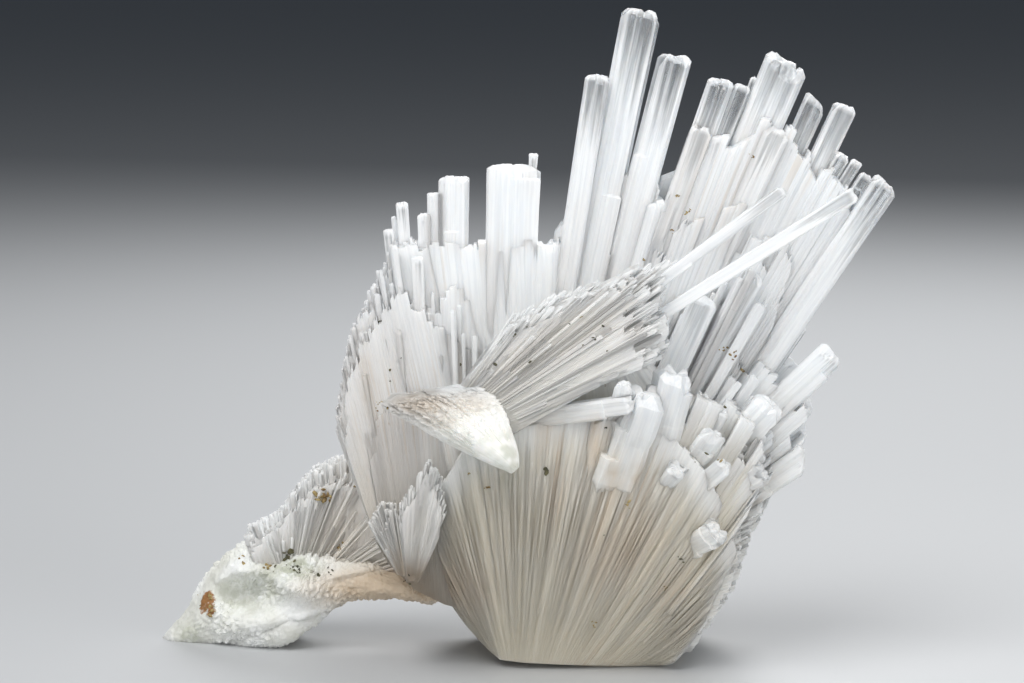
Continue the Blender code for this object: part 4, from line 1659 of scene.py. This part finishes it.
# %% Grow the needles of the fan and the tuft
WHITE_NEEDLES = {
    "fan_needles": Spray(
        ((-26, 51), (-23, 49.6), (-19, 47.4), (-15, 45)),
        ((-14, 69), (-5, 73), (5, 76), (15, 79), (19, 80), (15.6, 71), (16.6, 66), (16.8, 61.5),
         (8, 57)),
        (-24, -22), 320, (0.3, 0.9), NEEDLE, 0.3, (2.0, 5.0), 0.12, 0.3, 0.05,
        cream_finish,
    ),
    "fan_front": Spray(
        ((-26, 51), (-23, 49.6), (-19, 47.4), (-15, 45)),
        ((-16, 66), (-6, 71), (4, 74), (13, 76.4), (15, 70), (16, 65), (15.4, 60), (6, 56.6)),
        (-27.4, -28.6), 230, (0.4, 1.3), NEEDLE, 0.2, (0.5, 1.2), 0.1, 0.7, 0.1,
        cream_finish,
    ),
    "hanging_tuft": Spray(
        ((-35.4, 15), (-34.2, 15)),
        ((-37.4, 30), (-35, 34), (-31, 40.0), (-28.6, 36), (-27.6, 29)),
        (-17.6, -15.6), 260, (0.3, 0.8), NEEDLE, 0.15, (1, 2), 0.1, 0.5, 0.0,
        cream_finish,
    ),
    "side_tuft": Spray(
        ((-37.4, 16.4), (-36, 16)),
        ((-43.4, 27), (-41, 31), (-38, 31)),
        (-11, -12), 160, (0.4, 1.0), NEEDLE, 0.15, (1, 2), 0.1, 0.5, 0.0,
        cream_finish,
    ),
}
grow_sprays(WHITE_NEEDLES, 109)

# %% [markdown]
# ## Needles of the foot
#
# The foot's spray ends in a jagged ridge, and short needles lie on its front.

# %% Grow the needles of the foot
FOOT_NEEDLES = {
    "foot_ridge": Spray(
        ((-61, 12), (-56, 12), (-50, 13), (-44, 15)),
        ((-67.5, 26.4), (-61, 29.6), (-57.4, 34.8), (-53.8, 38.6), (-48.6, 40.8), (-42, 40)),
        (15, 15), 300, (0.5, 1.4), NEEDLE, 0.1, (5, 7), 0.06, 0.08, 0.2,
        cream_finish,
    ),
    "foot_front": Spray(
        ((-60, 13.5), (-57, 13), (-53, 13.4)),
        ((-64, 24), (-57, 31), (-51, 36), (-46, 38), (-40, 34), (-33, 25), (-30, 17)),
        (9, 9), 200, (0.3, 0.9), NEEDLE, 0.1, (1, 2.2), 0.1, 0.4, 0.1,
        cream_finish,
    ),
}
grow_sprays(FOOT_NEEDLES, 113)

# %% [markdown]
# ## Grains that sit on the crystals
#
# Dark green and brown grains and rusty flakes sit here and there between the crystals. Each is thrown
# from the eye through its place on the drawing, and it stays where it strikes the specimen. A grain
# could also be placed by its depth, but every change to a crystal would then bury it or leave it
# floating.

# %% List the grains
Grain = namedtuple("Grain", "place size count spread")
DARK_GRAINS = (
    Grain((-40.8, 66.8), 0.5, 2, 0.4), Grain((-36.8, 59.6), 0.4, 1, 0.0),
    Grain((-39.0, 57.2), 0.4, 1, 0.0), Grain((-39.0, 55.0), 0.4, 1, 0.0),
    Grain((-18.0, 58.4), 0.45, 1, 0.0), Grain((-14.2, 64.2), 0.45, 2, 0.4),
    Grain((-11.6, 65.8), 0.5, 1, 0.0), Grain((-11.0, 58.8), 0.4, 1, 0.0),
    Grain((-3.0, 66.4), 0.5, 2, 0.3), Grain((3.6, 66.0), 0.45, 1, 0.0),
    Grain((8.2, 69.2), 0.45, 1, 0.0), Grain((-0.4, 62.2), 0.5, 1, 0.0),
    Grain((4.4, 61.0), 0.45, 1, 0.0), Grain((4.2, 45.6), 0.45, 2, 0.4),
    Grain((-7.8, 37.2), 0.8, 3, 0.6), Grain((18.8, 19.4), 0.5, 3, 1.0),
    Grain((3.8, 24.2), 0.4, 1, 0.0), Grain((24.4, 40.4), 0.5, 2, 0.3),
    Grain((22.0, 38.8), 0.4, 1, 0.0), Grain((28.0, 49.8), 0.45, 1, 0.0),
    Grain((2.0, 63.6), 0.4, 4, 1.0), Grain((-24.6, 58.0), 0.35, 2, 0.8),
    Grain((-59.4, 20.2), 0.8, 7, 1.0), Grain((-58.0, 18.0), 0.5, 9, 1.9),
    Grain((-53.2, 16.2), 0.6, 3, 0.5), Grain((-51.0, 17.0), 0.4, 4, 1.2),
    Grain((-36.0, 15.0), 0.4, 4, 1.4), Grain((-62.6, 17.8), 0.5, 4, 1.2),
)
BROWN_GRAINS = (
    Grain((-52.2, 32.0), 0.8, 16, 1.5), Grain((-68.6, 19.6), 0.6, 4, 0.9),
    Grain((-64.2, 18.0), 0.6, 5, 1.2), Grain((-75.4, 11.4), 0.5, 10, 1.4),
    Grain((-75.0, 8.8), 0.5, 8, 1.2), Grain((-49.2, 21.6), 0.45, 6, 1.0),
    Grain((-0.8, 67.8), 0.4, 2, 0.3), Grain((4.0, 54.0), 0.4, 2, 0.4),
    Grain((27.2, 39.2), 0.5, 3, 0.5), Grain((2.0, 6.4), 0.35, 4, 0.8),
    Grain((11.8, 79.2), 0.35, 2, 0.3), Grain((-41.4, 50.4), 0.35, 7, 1.2),
    Grain((-23.4, 36.4), 0.35, 4, 0.6), Grain((-19.8, 34.0), 0.35, 4, 0.6),
    Grain((33.6, 100.2), 0.3, 4, 0.7), Grain((18.8, 92.4), 0.35, 4, 0.7),
    Grain((20.6, 89.0), 0.35, 5, 0.8), Grain((17.4, 84.8), 0.35, 4, 0.7),
    Grain((27.4, 61.8), 0.4, 5, 0.9), Grain((29.4, 60.2), 0.4, 5, 0.9),
    Grain((31.6, 57.2), 0.35, 4, 0.8), Grain((8.4, 30.4), 0.4, 5, 0.8),
    Grain((15.8, 13.4), 0.35, 4, 0.7), Grain((-46.0, 34.0), 0.4, 2, 0.4),
)


print("places with grains:", len(DARK_GRAINS) + len(BROWN_GRAINS))

# %% [markdown]
# ## Throwing the grains
#
# Each grain is a small lump, squashed, turned and roughened by chance, with two shades of its colour.

# %% Scatter the grains
LOWEST_GRAIN = 0.0005


def grain_finish(name, colours):
    shader = Shader(name)
    place = shader.node("NewGeometry").outputs["Position"]
    patches = shader.noise(place, 900.0, 2.0)
    body = shader.mixed(patches.ramp(0.35, 0.65), colours[0], colours[1])
    sockets = {"Base Color": body, "Roughness": 0.35 + 0.4 * patches}
    return shader.finished(shader.node("BsdfPrincipled", {}, sockets).outputs[0])


def scattered(grains, name, material, seed):
    """Small irregular lumps where a line of sight through each place meets the specimen."""
    chance = random.Random(seed)
    bpy.context.view_layer.update()
    depsgraph = bpy.context.evaluated_depsgraph_get()
    shape = bmesh.new()
    for grain in grains:
        for _ in range(grain.count):
            place = np.array(grain.place) + [chance.gauss(0, 0.5) * grain.spread for _ in range(2)]
            ray = Vector(lifted(place, 0.0) - EYE).normalized()
            met, point = bpy.context.scene.ray_cast(depsgraph, Vector(EYE * MM), ray)[:2]
            if not met or point.z < LOWEST_GRAIN:
                continue
            radius = grain.size * chance.uniform(0.4, 1.15) * MM
            lump = bmesh.ops.create_icosphere(shape, subdivisions=1, radius=radius)["verts"]
            turn = Vector([chance.uniform(-1, 1) for _ in range(3)]).to_track_quat("X", "Z")
            squash = Vector((1.1, chance.uniform(0.4, 0.9), chance.uniform(0.3, 0.7)))
            for corner in lump:
                corner.co = turn @ (corner.co * squash * chance.uniform(0.75, 1.2)) + point
    mesh = bpy.data.meshes.new(name)
    shape.to_mesh(mesh)
    shape.free()
    mesh.materials.append(material)
    piece = bpy.data.objects.new(name, mesh)
    bpy.context.scene.collection.objects.link(piece)
    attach(piece, "root")
    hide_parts(CLUSTER)
    print(f"{name}: {len(mesh.polygons)} triangles")


dark_grains = grain_finish("dark_grains", ((0.035, 0.035, 0.018, 1.0), (0.12, 0.11, 0.05, 1.0)))
brown_grains = grain_finish("brown_grains", ((0.17, 0.10, 0.03, 1.0), (0.42, 0.33, 0.14, 1.0)))
scattered(DARK_GRAINS, "dark_grains", dark_grains, 51)
scattered(BROWN_GRAINS, "brown_grains", brown_grains, 52)

# %% Lay the floor
floor_mesh = bpy.data.meshes.new("floor")
turns = ((-1, -1), (1, -1), (1, 1), (-1, 1))
corners = [(x * FLOOR_HALF, y * FLOOR_HALF, 0.0) for x, y in turns]
floor_mesh.from_pydata(corners, [], [(0, 1, 2, 3)])
floor = bpy.data.objects.new("floor", floor_mesh)
bpy.context.scene.collection.objects.link(floor)
paint = Shader("pale_floor")
sheen = paint.node("BsdfPrincipled", {}, {"Base Color": FLOOR_COLOUR, "Roughness": 0.5})
floor_mesh.materials.append(paint.finished(sheen.outputs[0]))
print("floor laid")
